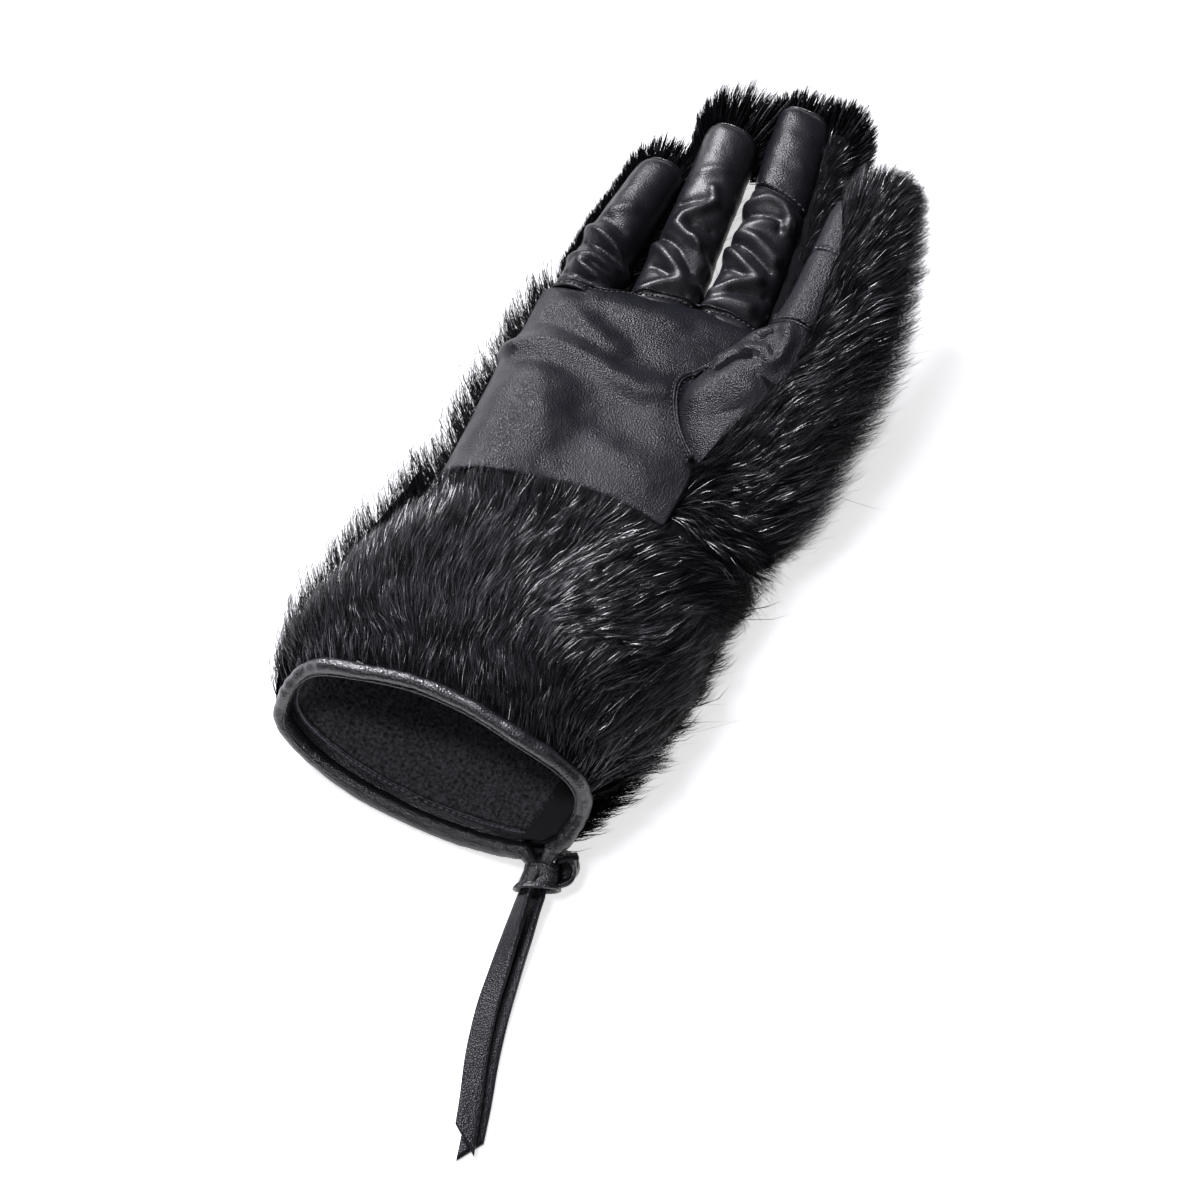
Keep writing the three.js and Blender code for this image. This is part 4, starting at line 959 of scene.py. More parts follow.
# %% Hair finish
def hair_finish(name, dark, light, rough, shine):
    """Smooth black hair; `shine` tells how much light it throws back."""
    material, surface = shader(name, dark, 0.3, Specular_IOR_Level=shine)
    patches = noise(material, 60, 3)
    blend_colors(material, spread(material, patches.outputs["Fac"], 0, 1), dark, light,
                 surface.inputs["Base Color"])
    fine = noise(material, 2500, 2)
    link(material, spread(material, fine.outputs["Fac"], *rough), surface.inputs["Roughness"])
    return material


black_hair = hair_finish("black_hair", (0.0015, 0.0015, 0.002), (0.004, 0.004, 0.005), (0.22, 0.36), 0.06)
# The glint hair: its lighter colour is a painted glint; its higher shine and lower roughness are real.
painted_glint_hair = hair_finish("painted_glint_hair", (0.008, 0.008, 0.011), (0.05, 0.05, 0.06), (0.19, 0.32), 0.8)
# The shell under the hair: its black is the under-hair's own colour and painted shade of the deep coat.
under_hair_and_shade, hide_surface = shader("hide_under_hair", (0.003, 0.003, 0.004), 0.9, Specular_IOR_Level=0.08)
hide_grain = noise(under_hair_and_shade, 300, 4)
bump(under_hair_and_shade, hide_surface, hide_grain.outputs["Fac"], 1.0, 0.001)


# %% Hair from arrays
def flow_at(x, y, table):
    """The way that hair lies, seen from above: the nearest rows of the table count most.

    Each row is a place and a heading in degrees, from +X (0) to the fingertips (90).
    """
    total = np.zeros((len(x), 2))
    for at_x, at_y, heading in table:
        weight = 1 / (((x - at_x) ** 2 + (y - at_y) ** 2) / 60 + 0.4) ** 1.6
        total += weight[:, None] * (math.cos(math.radians(heading)), math.sin(math.radians(heading)))
    return unit(total)


BLADE = np.array([(0, 1, 3), (0, 3, 2), (2, 3, 5), (2, 5, 4), (4, 5, 6)])
SPIKE = np.array([(0, 1, 3), (1, 2, 3), (2, 0, 3)])


def blades(base, bend_1, bend_2, tip, side, width):
    """Flat hairs of five triangles each, bent at two places."""
    w = width[:, None]
    points = np.stack([base - side * w, base + side * w, bend_1 - side * w, bend_1 + side * w,
                       bend_2 - 0.7 * side * w, bend_2 + 0.7 * side * w, tip], axis=1)
    return points.reshape(-1, 3), (BLADE[None] + np.arange(len(base))[:, None, None] * 7).reshape(-1, 3)


def spikes(base, tip, side, width):
    """Straight hairs of three triangles each."""
    rise = unit(np.cross(side, tip - base))
    turns = [k * 2 * math.pi / 3 for k in range(3)]
    ring = [base + (side * math.cos(t) + rise * math.sin(t)) * width[:, None] for t in turns]
    points = np.stack([*ring, tip], axis=1)
    return points.reshape(-1, 3), (SPIKE[None] + np.arange(len(base))[:, None, None] * 4).reshape(-1, 3)


def tufted(tips, roots, cell, pull, chance):
    """Hair tips drawn together in tufts about `cell` millimetres wide."""
    box = np.floor((roots + 0.35 * cell * chance.normal(size=roots.shape)) / cell).astype(int)
    _, member = np.unique(box, axis=0, return_inverse=True)
    member = member.ravel()
    share = np.bincount(member)[:, None]
    meeting = np.stack([np.bincount(member, tips[:, k]) for k in range(3)], axis=1) / share
    return tips + (meeting[member] - tips) * chance.uniform(*pull, (len(tips), 1))


GUARD_SHARE, STRAY_SHARE = 0.3, 0.007      # long guard hairs, and hairs that stick out of the coat
ROOT_DEPTH = 0.8                           # millimetres under the place of the root
BENDS = ((1.15, 0.34), (0.85, 0.33), (0.45, 0.33))   # each part's share of the lift and of the length
HAIR_LEFT, HAIR_RIGHT = -114.5, 78


def in_reach(places):
    """Hair stays above the floor and within its reach at the sides."""
    for place in places:
        place[:, 0] = np.clip(place[:, 0], HAIR_LEFT, HAIR_RIGHT)
        place[:, 2] = np.maximum(place[:, 2], RESTING)


# %% [markdown]
# ## A coat
# Real hair is never combed to one length or one angle. The long guard hairs shine over a dull
# under-coat, a few hairs go astray, and neighbours cling together in tufts. Each of these is one
# random choice here, made for all the hairs of a coat at once.

# %% A coat of hair
def coat(name, roots, facing, flow, length, lift, seed, node_name, blade_share, cell, pull, painted_glint_share,
         ragged=0.0, thick=0.075):
    """Hair on given roots: its way in plan, its length and its lift in degrees at the root.

    Tufts are about `cell` millimetres wide. `painted_glint_share` of the long guard hairs get the
    glossy glint hair, whose lighter colour is a painted glint, and `ragged` makes some patches longer
    than others.
    """
    chance = np.random.default_rng(seed)
    count = len(roots)
    way = np.concatenate([flow, np.zeros((count, 1))], axis=1)
    way = unit(way - facing * np.sum(way * facing, axis=1, keepdims=True))
    side = unit(np.cross(facing, way))
    way = unit(way + side * (0.27 * waves(roots, 17, seed)[:, None] + 0.15 * chance.normal(size=(count, 1))))
    stray = chance.random(count) < STRAY_SHARE
    way = unit(way + 0.35 * stray[:, None] * chance.normal(size=(count, 3)))
    guard = chance.random(count) < GUARD_SHARE
    size = length * chance.uniform(0.6, 1.15, count) * np.where(stray, 1.7, 1.0) * np.where(guard, 1.15, 1.0)
    size = size * (1 + ragged * np.clip(waves(roots, 7, seed + 2), -0.7, 1))
    stand = np.radians(lift + 7 * waves(roots, 8, seed + 1) + 7 * waves(roots, 17, seed + 4))
    stand = stand * chance.uniform(0.75, 1.25, count)
    steps = []
    at = roots - facing * ROOT_DEPTH
    for part, share in BENDS:
        steps.append(at)
        turn = part * stand
        at = at + (way * np.cos(turn)[:, None] + facing * np.sin(turn)[:, None]) * (share * size)[:, None]
    met = tufted(at, roots, cell, pull, chance)
    steps = [steps[0], steps[1] + 0.15 * (met - at), steps[2] + 0.5 * (met - at), met]
    in_reach(steps)
    roll = chance.normal(0, 0.5, (count, 1))
    side = unit(np.cross(facing, steps[3] - steps[0]))
    side = side * np.cos(roll) + facing * np.sin(roll)
    width = thick * chance.uniform(0.7, 1.25, count) * np.where(guard, 1.1, 1.0)
    long = guard | (chance.random(count) < blade_share - 0.2)
    points, faces = blades(*(place[long] for place in steps), side[long], width[long])
    more_points, more_faces = spikes(steps[0][~long], steps[3][~long], side[~long], width[~long])
    piece = mesh_object(name, np.concatenate([points, more_points]),
                        np.concatenate([faces, more_faces + len(points)]), black_hair)
    # The glint hair goes on some guard hairs, as painted glints.
    piece.data.materials.append(painted_glint_hair)
    painted_glints = np.zeros(len(piece.data.polygons), np.int32)
    painted_glint_guard = guard & (chance.random(count) < painted_glint_share)
    painted_glints[:len(BLADE) * long.sum()] = np.repeat(painted_glint_guard[long], len(BLADE))
    piece.data.polygons.foreach_set("material_index", painted_glints)
    print(name, count, "hairs", len(faces) + len(more_faces), "triangles")
    return worn(piece, "horsehide", node_name)


# %% [markdown]
# ## Where hair grows
# The coat has a depth at each place, from the same tables as the CAD solids: it is deep at the
# sides and thin on top. Enough single hairs to fill that depth would be millions. Instead a dark
# shell a little under the tips stands for the dense under-hair, so no light shows through, and
# hair grows only in the layer above it. Its flat black is partly the hair's own colour and partly
# painted shade of the deep coat. How close the shell comes to the tips is told by one small
# function for each kind of coat.

# %% Depth of the coat
BODY_PILE = columns("y left right front", [
    (-88, 9, 3, 2.5), (-66, 19, 9, 4.5), (-20, 23, 10, 5), (20, 22, 10, 5), (60, 20, 9, 4),
    (100, 15, 5, 3), (135, 9, 4, 3),
])
THUMB_PILE = columns("y outer front", [
    (48, 15, 4), (80, 21, 6), (140, 22, 6), (178, 14, 5), (200, 7, 5), (222, 5, 5),
])


def body_depth(row, degrees):
    """How deep the coat is on the cuff and the back of the hand, in millimetres."""
    sideways = np.cos(np.radians(degrees))
    left = np.interp(row, BODY_PILE["y"], BODY_PILE["left"])
    right = np.interp(row, BODY_PILE["y"], BODY_PILE["right"])
    front = np.interp(row, BODY_PILE["y"], BODY_PILE["front"])
    return front + (np.where(sideways > 0, right, left) - front) * sideways**4


def thumb_depth(row, degrees):
    """How deep the coat is on the thumb."""
    outward = np.clip(np.cos(np.radians(degrees)), 0, 1)
    front = np.interp(row, THUMB_PILE["y"], THUMB_PILE["front"])
    return front + (np.interp(row, THUMB_PILE["y"], THUMB_PILE["outer"]) - front) * outward**2


def bare_skin(row, degrees):
    """No coat at all."""
    return 0 * row


# %% Shells of the under-hair
THIN_COAT = 5.5      # a coat up to this deep needs no shell above its skin


def shell_rise(depth):
    """How far the under-hair shell of the fingers stands off the skin."""
    return np.clip(depth - THIN_COAT, 0, None) * 0.66


def cuff_shell(depth):
    """Hair lies flat on the cuff front, so its shell is close under the tips."""
    return np.clip((depth - 1.8) * 0.85, 0, 9)


def thumb_shell(depth):
    """Thumb hair is dense nearly up to its tips."""
    return np.clip(depth - THIN_COAT, 0, None) * 0.86


def fringe_shell(depth):
    """So is the hair of the back, which shows as a fringe along the little-finger side."""
    return np.clip(depth - THIN_COAT, 0, None) * 0.9


# %% [markdown]
# ## Roots
# Roots picked at random by row and angle would crowd where a limb is narrow. Many more are tried
# than needed, and each is kept by the area that it stands for, so they end up evenly spread. Then
# those outside their own panel are left out.

# %% Roots and hide
def inside(x, y, outline):
    """Which places lie inside a closed line seen from above."""
    result = np.zeros(x.shape, bool)
    for (ax, ay), (bx, by) in zip(outline, np.roll(outline, -1, axis=0)):
        crosses = (ay > y) != (by > y)
        result ^= crosses & (x < ax + (bx - ax) * (y - ay) / (by - ay if by != ay else 1e-9))
    return result


def scattered(limb, depth_at, rows, degrees, count, seed, keep, shell=shell_rise, deepest=0.3):
    """`count` roots spread evenly on a stretch of skin; keep(place, angle) says which may stay.

    A root lies between the shell and `deepest` times the shell's height.
    """
    chance = np.random.default_rng(seed)
    tries = 9 * count      # more than enough, for most are left out where the skin is narrow
    row = chance.uniform(*rows, tries)
    angle = chance.uniform(*degrees, tries)
    place, facing = skin(limb, row, angle)
    by_row, _ = skin(limb, row - 0.5, angle)
    by_angle, _ = skin(limb, row, angle + 1)
    area = np.linalg.norm(np.cross(by_row - place, by_angle - place), axis=1)
    depth = depth_at(row, angle)
    weight = np.minimum(area / np.quantile(area, 0.95), 1) * np.clip(0.5 + depth / 16, 0.6, 1.2) / 1.2
    wanted = np.flatnonzero((chance.random(len(row)) < weight) & keep(place, angle))[:count]
    rise = shell(depth[wanted]) * chance.uniform(deepest, 1, len(wanted))
    place = place[wanted] + facing[wanted] * rise[:, None]
    print(len(wanted), "of", count, "roots")
    return place, facing[wanted], angle[wanted], row[wanted], depth[wanted]


HIDE_LOW = 0.4      # the shell keeps this far above the floor, in millimetres


def hide(name, limb, depth_at, rows, degrees, drop, count=(42, 60), leather_above=False, shell=shell_rise):
    """The dark shell of under-hair and painted shade, `drop` millimetres under the lowest roots; its last row
    may follow a line.

    With leather above, the shell keeps down on the palm side, so it can't come through the leather.
    """
    angle = np.linspace(*degrees, count[1])[None, :]
    last = rows[1](angle) if callable(rows[1]) else rows[1]
    row = rows[0] + (last - rows[0]) * np.linspace(0, 1, count[0])[:, None]
    points, facing = skin(limb, row, angle)
    rise = shell(depth_at(*np.broadcast_arrays(row, angle)))
    if leather_above:
        rise = rise * ramp(-np.sin(np.radians(angle)), 0.0, 0.4)
    rise = rise - drop
    points = points + facing * (rise + 0.3 * waves(points, 9, 4))[..., None]
    points[..., 2] = np.maximum(points[..., 2], HIDE_LOW)
    piece = mesh_object(name, points.reshape(-1, 3), grid_faces(*points.shape[:2]), under_hair_and_shade)
    return worn(piece, "horsehide")


def lift_for(depth, length, shell=shell_rise, share=0.65):
    """Hair of this length must lean this much, in degrees, to reach the top of the coat."""
    return np.degrees(np.arcsin(np.clip((depth - shell(depth) * share) * 1.15 / length, 0.12, 0.92)))


# %% Borders of the hair, seen from above
LOBE_SEAM = [(-10, 37), (-3.4, 38.5), (20, 36.8), (33.8, 35), (47.2, 30.3), (60, 22)]
LOBE_EDGE = [(27, 33), (38, 30)]
cuff_outline = np.array([(-140, 12), *ARCH, *LOBE_EDGE, (46, 26), (110, 16), (110, -150), (-140, -150)])
palm_outline = np.array([(-140, 12), *ARCH, *PALM_RIGHT[1:], *FINGER_BASE[::-1], (-140, 121)])
thumb_outline = np.array([(-60, 40), *zip(THUMB_FUR_LINE["x"], THUMB_FUR_LINE["y"]), (-60, 206)])

# %% [markdown]
# ## Fur of the cuff
# On the front of the cuff the hair points to the fingers. It leans to the little-finger side above
# the binding, swirls in the middle and turns outwards at the thumb side. Combing it with a brush
# tool would work once. A table of places and headings, blended in between, can be read off the
# photograph and changed line by line. Near the mouth the coat gets deeper with every row, so the
# hair there is lifted by the slope of its shell as well.

# %% Fur of the cuff
CUFF_FLOW = [
    (-85, -75, 100), (-85, -62, 104), (-80, -25, 100), (-61, 14, 108), (-40, 23, 104), (-18, 33, 95),
    (2, 32, 81), (-72, -61, 107), (-66, -55, 123), (-55, -60, 153), (-40, -59, 95), (-28, -60, 101),
    (-58, -16, 90), (-41, -23, 86), (-28, -33, 90), (-41, -39, 107), (-14, -42, 90), (-21, -13, 66),
    (0, -2, 64), (-18, 7, 76), (-2, 15, 44), (17, 14, 36), (23, 28, 15), (25, 10, 52), (44, 10, 4),
    (-4, -30, 41), (8, -22, 39), (11, -28, 33), (20, -20, 15), (32, -14, 63), (40, -6, 83),
    (39, -20, 59), (7, -43, 81), (15, -43, 66), (28, -37, 48), (40, -29, 44), (46, -26, 66),
    (26, -49, 76), (40, -45, 63), (50, -41, 61), (36, -62, 71), (50, -59, 59), (49, -72, 57),
    (47, -82, 57), (-19, -63, 123), (-2, -57, 137), (-5, -65, 119), (14, -64, 115), (23, -69, 123),
    (30, -73, 133), (34, -67, 90), (-65, -77, 108), (-37, -73, 113),
]


def cuff_front():
    """Short shining hair over the dark shell of the cuff, brighter where it lies flat, with painted glints on
    some guard hairs.
    """
    def keep(place, angle):
        """Hair stops at the arch and at the seam of the lobe, so roots stay a hair's length away."""
        near = place[:, 1] > 5
        ahead = place[:, :2].copy()
        ahead[near] += 6.5 * flow_at(place[near, 0], place[near, 1], CUFF_FLOW)
        return inside(ahead[:, 0], ahead[:, 1], cuff_outline)

    def front_depth(row, angle):
        """At the little-finger side the front stays low, so that the fringe of the back shows."""
        depth = body_depth(row, angle)
        low = np.where(angle > 90, np.minimum(depth, 6 + 0.2 * np.clip(10 - row, 0, 60)), depth)
        return 1.8 + (low - 1.8) * ramp(row, MOUTH_Y + 1, MOUTH_Y + 26)

    roots, facing, angle, row, depth = scattered(
        BODY, front_depth, (MOUTH_Y + 2.5, 45), (-2, 182), 45000, 11, keep, cuff_shell, 0.93)
    depth = np.where(angle > 90, np.minimum(depth, 6), depth)
    x, y = roots[:, 0], roots[:, 1]
    length = 7.2 + 0.45 * depth + 9 * ramp(x, 25, 42) * ramp(-y, 15, 50)
    # Share of guard hairs with painted glints: none at the far left, fewer on the thumb side above the mouth,
    # half near the arch.
    painted_glints = 1 - 0.4 * ramp(x, -15, 12) * ramp(y, -66, -46)
    painted_glints = painted_glints * ramp(x, -112, -102) * (1 - 0.5 * ramp(y, 0, 14))
    flow = flow_at(x, y, CUFF_FLOW)
    near_mouth = 1 - ramp(y, -72, -52)
    climb = cuff_shell(front_depth(row + 1, angle)) - cuff_shell(front_depth(row - 1, angle))
    lift = lift_for(depth, length, cuff_shell, 0.92) + np.degrees(np.arctan(climb / 2)) * flow[:, 1]
    coat("cuff_front_hair", roots, facing, flow, length, lift + 8 * near_mouth, 12, "cuff_front_fur",
         blade_share=0.62, cell=1.8, pull=(0.0, 0.5), thick=0.058 + 0.04 * near_mouth, painted_glint_share=painted_glints)
    arch = on_hand([*ARCH, *LOBE_EDGE])[::-1]

    def last_row(angle):
        """The hide ends just below the arch."""
        return np.interp(angle, arch[:, 1], arch[:, 0]) - 1.2

    hide("cuff_front_hide", BODY, front_depth, (MOUTH_Y + 3, last_row), (-2, 182), 0.9, shell=cuff_shell)


cuff_front()

BACK_FLOW = [(-95, -75, 132), (-95, -30, 138), (-95, 20, 134), (-25, -40, 90), (50, -60, 22), (50, 0, 35)]


def sides_mostly(place, angle):
    """The underside is pressed flat and rarely seen, so it gets a third of the hair."""
    return (np.abs(np.cos(np.radians(angle))) > 0.5) | (place[:, 1] % 2 < 0.6)


def cuff_back():
    """Long hair in heavy tufts, seen as the fringe along the little-finger side."""
    roots, facing, _, _, depth = scattered(
        BODY, body_depth, (MOUTH_Y + 2.5, 34), (-186, 5), 19000, 13,
        lambda place, angle: (place[:, 1] < 24) & sides_mostly(place, angle))
    length = 13.5 + 0.6 * depth
    coat("cuff_back_hair", roots, facing, flow_at(roots[:, 0], roots[:, 1], BACK_FLOW), length,
         lift_for(depth + 4, length), 14, "cuff_back_fur", blade_share=0.5, cell=5.5,
         pull=(0.6, 0.95), ragged=0.6, painted_glint_share=0.08, thick=0.17)
    hide("cuff_back_hide", BODY, body_depth, (MOUTH_Y + 3, 24), (-182, 2), 0.9, shell=fringe_shell)


cuff_back()

# %% [markdown]
# ## Fur of the hand
# The back of the hand shows as a fringe of tufts along the little-finger side, and as a wedge of
# hair between the cuff, the palm and the thumb. The two could be separate coats, but they are one
# hide on the real glove. So they are one mesh, whose hair gets longer and thicker to the left.

# %% Fur of the hand
HAND_FLOW = [
    (-95, 40, 136), (-95, 90, 138), (-90, 125, 128), (-20, 70, 90), (11, 56, 80), (22, 41, -36),
    (38, 32, -32), (43, 52, 4), (48, 77, 44), (22, 77, 66), (30, 97, 69), (23, 57, 4), (56, 33, -17),
]


def hand_back():
    """The fringe of the hand's back and the wedge of hair in front, between palm and thumb."""
    def keep(place, angle):
        x, y = place[:, 0], place[:, 1]
        open_top = ~inside(x, y, cuff_outline) & ~inside(x, y, palm_outline)
        below = (y > 22) & sides_mostly(place, angle)
        clear = near_line(x, y, LOBE_SEAM) > 2.0
        return np.where(np.sin(np.radians(angle)) > 0, open_top & clear & (y < 100), below)

    roots, facing, _, _, depth = scattered(BODY, body_depth, (20, 143), (-186, 90), 25500, 15, keep)
    left = ramp(-roots[:, 0], 40, 60)
    length = 10 + 0.55 * depth + 3.5 * left
    # Painted glints get rarer towards the left fringe, where the hair is longer and thicker.
    coat("hand_back_hair", roots, facing, flow_at(roots[:, 0], roots[:, 1], HAND_FLOW), length,
         lift_for(depth + 4 * left, length), 16, "hand_back_fur", blade_share=0.5, cell=4.5,
         pull=(0.35, 0.9), ragged=0.5, painted_glint_share=0.3 - 0.24 * left, thick=0.066 + 0.09 * left)
    hide("hand_back_hide", BODY, body_depth, (20, 144), (-182, 2), 1.0,
         leather_above=True, shell=fringe_shell)
    hide("hand_front_hide", BODY, bare_skin, (20, 100), (0, 60), 1.0, (40, 20))
    hide("palm_corner_hide", BODY, bare_skin, (26, 46), (58, 72), 1.8, (12, 12))


hand_back()

# %% [markdown]
# ## Fur of the fingers
# The finger backs show beside and beyond the leather as a brush of straight hair, longest at the
# tips. The back is a coat like the others. The crown round a tip is made apart, because its roots
# lie in a row along the seam and its hairs stand out like a fan, which no flow table gives.

# %% Fur of the fingers
FINGER_HAIR = [
    ("pinky_finger", PINKY, 17.0, 17), ("ring_finger", RING, 27.0, 18),
    ("middle_finger", MIDDLE, 16.0, 19), ("index_finger", INDEX, 17.0, 20),
]


def finger_depth(row, degrees):
    """A finger's coat: thin beside the leather, thicker on the back."""
    return 3 + 4 * np.clip(-np.sin(np.radians(degrees)), 0, 1) + 0 * row


def index_depth(row, degrees):
    """The index finger's coat is thick on the side that fills the gap to the thumb."""
    thumb_side = np.clip(np.cos(np.radians(degrees)), 0, 1) ** 2
    return finger_depth(row, degrees) + 10 * thumb_side * (1 - ramp(row, 205, 235))


def brush(name, limb, tip_length, seed):
    """The fur of one finger: its back, the shell under it and the crown round its tip."""
    end = limb["end"]
    index = limb is INDEX
    depth_at = index_depth if index else finger_depth
    chance = np.random.default_rng(seed + 40)

    def keep(place, angle):
        y, cos, sin = place[:, 1], np.cos(np.radians(angle)), np.sin(np.radians(angle))
        back = sin < 0.02
        if index:
            back = (sin > -0.3) & (y > 138) & ((cos > -0.5) | (y > 228))
        if limb in (RING, MIDDLE):
            slit = cos * (1 if limb is RING else -1) > 0.3
            back &= ~(slit & (y < 227)) | (chance.random(len(y)) < 0.03)
        return back & (y > 136)

    roots, facing, angle, _, _ = scattered(
        limb, depth_at, (130, end - 8), (-184, 184), 6300 if index else 4400, seed, keep)
    flow = np.stack([0.8 * np.cos(np.radians(angle)) + 0.3 * index, np.ones(len(roots))], axis=1)
    outer_side = ramp(-np.cos(np.radians(angle)), 0.5, 0.95) * (limb is PINKY)
    stand = (38 if index else 24) + 28 * outer_side
    coat(name + "_back_hair", roots, facing, unit(flow), 9 + 5 * outer_side, stand, seed + 10, name + "_fur",
         blade_share=0.4, cell=3.0, pull=(0.1, 0.8), ragged=0.3, painted_glint_share=0.22)
    hide(name + "_hide", limb, depth_at, (120, end - 0.3), (-182, 2), 0.9, (40, 24))
    # On the index finger a black shell also lies over the leather: partly its fur, partly painted shade in
    # the gap between the middle finger and the thumb.
    if index:
        hide(name + "_top_hide", limb, depth_at, (136, end - 0.3), (-10, 190), -0.7, (40, 24))
    crown(name, limb, tip_length, seed + 20)


# %% The crown of a fingertip
CROWN_REACH = {       # where it starts and ends: -1 to 1 is the tip, and beyond lie the sides
    "pinky_finger": (-3.2, 3.2), "ring_finger": (-3.2, 1.08), "middle_finger": (-1.08, 3.2),
    "index_finger": (-3.2, 1.2),
}


def crown(name, limb, tip_length, seed):
    """The brush round a fingertip, rooted under the edge of the leather."""
    chance = np.random.default_rng(seed)
    end, count = limb["end"], 6000
    left, right = CROWN_REACH[name]
    round_share = chance.uniform(left, right, count)
    turn = np.clip(round_share, -1, 1) * math.pi / 2
    under = chance.uniform(0, 1, count) ** 1.5
    behind = 24 * np.clip(np.abs(round_share) - 1, 0, None)
    back = end + limb["round"] * (np.cos(turn) - 1) - behind
    half = smooth(limb["rows"], "half", back)
    x = smooth(limb["rows"], "x", back) + half * np.sin(turn) * (0.94 + 0.06 * under)
    seam = np.interp(back, SIDE_SEAM["y"], SIDE_SEAM["z"])
    above = 3 if limb is INDEX else 0.5
    roots = np.stack([x, back - 3 * under, seam + above - 7 * under], axis=1)
    lean = np.array((0.0, 0.45, 0.0))
    out = np.stack([np.sin(turn) * 0.85, np.cos(turn), 0.45 - 0.7 * under], axis=1) + lean
    out = unit(out + 0.12 * chance.normal(size=(count, 3)))
    size = (7.5 + (tip_length - 7.5) * np.cos(turn) ** 0.8 - 0.03 * behind) * chance.uniform(0.65, 1.1, count)
    bend = np.array((0, 0.25, 0.12))
    steps = [roots + out * (size * s)[:, None] + bend * (size * s * s)[:, None] for s in (0, 0.34, 0.67, 1)]
    met = tufted(steps[3], steps[0], 2.4, (0.3, 0.9), chance)
    steps[2] += 0.5 * (met - steps[3])
    steps[3] = met
    in_reach(steps)
    side = unit(np.cross(out, unit(chance.normal(size=(count, 3)))))
    points, faces = blades(*steps, side, 0.17 * chance.uniform(0.7, 1.25, count))
    piece = mesh_object(name + "_tip_hair", points, faces, black_hair)
    return worn(piece, "horsehide", name + "_fur")


for name, limb, tip_length, seed in FINGER_HAIR:
    brush(name, limb, tip_length, seed)

# %% [markdown]
# ## Fur of the thumb
# The thumb's long coat streams up and outwards from the leather strip, and ends in a round tip.
# The flow table would run straight over the tip and leave it bald, so near the end the way of the
# hair turns step by step from the table to a fan round one point.

# %% Fur of the thumb
THUMB_FLOW = [
    (9, 209, 95), (24, 217, 97), (17, 199, 86), (23, 202, 81), (16, 184, 90), (26, 189, 76), (35, 193, 81),
    (28, 166, 66), (39, 176, 66), (46, 185, 79), (29, 148, 90), (42, 154, 61), (49, 163, 61), (30, 130, 76),
    (42, 136, 61), (54, 142, 71), (30, 107, 55), (48, 116, 52), (60, 122, 69), (29, 93, 66), (33, 213, 104),
    (19, 82, 80), (49, 92, 55), (12, 62, 10),
]


def thumb_coat():
    """The stream of hair beside the strip, which fans out round the tip of the thumb."""
    def keep(place, angle):
        """The leather strip stays bare."""
        return ~inside(place[:, 0], place[:, 1], thumb_outline) | (np.sin(np.radians(angle)) < -0.25)

    roots, facing, _, row, depth = scattered(
        THUMB, thumb_depth, (50, 221.5), (-120, 150), 41000, 31, keep, thumb_shell, 0.6)
    at_tip = ramp(row, 192, 214)
    outward = unit(roots[:, :2] - (19.5, 194))
    stream = flow_at(roots[:, 0], roots[:, 1], THUMB_FLOW)
    flow = unit(stream * (1 - at_tip[:, None]) + outward * at_tip[:, None])
    length = (8.2 + 0.4 * depth) * (1 - at_tip) + (7 + 5 * np.clip(outward[:, 1], 0, 1) ** 2) * at_tip
    lift = lift_for(depth, length, thumb_shell, 0.85) * (1 - 0.5 * at_tip)
    coat("thumb_hair", roots, facing, flow, length, lift, 32, "thumb_fur", blade_share=0.6, cell=2.3,
         pull=(0.05, 0.6), ragged=0.35, painted_glint_share=0.55, thick=0.062)
    hide("thumb_hide", THUMB, thumb_depth, (50, 221.8), (-180, 180), 1.2, (50, 48), shell=thumb_shell)


thumb_coat()

# %% [markdown]
# ## Knot
# The thong is tied round its own two ends, so the knot is a band of leather with a flared lower
# lip. A side loop goes up to the binding, and a stub of sewing thread is left over. A knot could
# be swept as one long strap, but it would cut through itself. The band is a stack of rounded
# rings with one slanting crease, and short straps give the folds that come out of it.

# %% Knot
KNOT = np.array((28.3, -105.2, 6.0))
KNOT_DOWN, KNOT_ACROSS = unit(np.array((0.37, -0.9, -0.22))), unit(np.array((0.91, 0.42, 0.0)))
KNOT_ROWS = columns("along half tall", [
    (-6.4, 3.4, 1.8), (-6.6, 5.2, 3.0), (-6.0, 6.3, 4.0), (-4.2, 6.9, 4.4), (-1.5, 7.2, 4.6),
    (0.8, 7.5, 4.7), (1.9, 8.3, 5.2), (2.8, 9.0, 5.6), (3.5, 9.2, 5.6), (3.9, 8.6, 5.1), (3.6, 7.6, 4.4),
    (2.8, 6.8, 3.8),
])


def knot():
    """The band of the knot: rounded square rings along its way down."""
    up = np.cross(KNOT_DOWN, KNOT_ACROSS)
    up = up if up[2] > 0 else -up
    turn = np.linspace(0, 2 * math.pi, 72, endpoint=False)
    share = np.linspace(0, len(KNOT_ROWS["along"]) - 1, 45)
    along, half, tall = (np.interp(share, np.arange(len(values)), values)[:, None]
                         for values in KNOT_ROWS.values())
    cos, sin = np.cos(turn), np.sin(turn)
    crease = 1 - 0.07 * np.exp(-(((np.mod(turn - 0.35 * along - 1.2, 2 * math.pi) - 0.6) / 0.16) ** 2))
    across = half * np.sign(cos) * np.abs(cos) ** 0.77 * crease
    rise = tall * np.sign(sin) * np.abs(sin) ** 0.77 * crease
    lean = -1.0 * KNOT_ACROSS * (along[..., None] / 5)
    points = (KNOT + along[..., None] * KNOT_DOWN + across[..., None] * KNOT_ACROSS
              + rise[..., None] * up + lean)
    points = points + 0.18 * waves(points, 6, 61)[..., None] * up
    points[..., 2] = np.maximum(points[..., 2], RESTING)
    worn(mesh_object("knot_band", *capped(points), edge_leather), "leather_matte", "thong_knot")


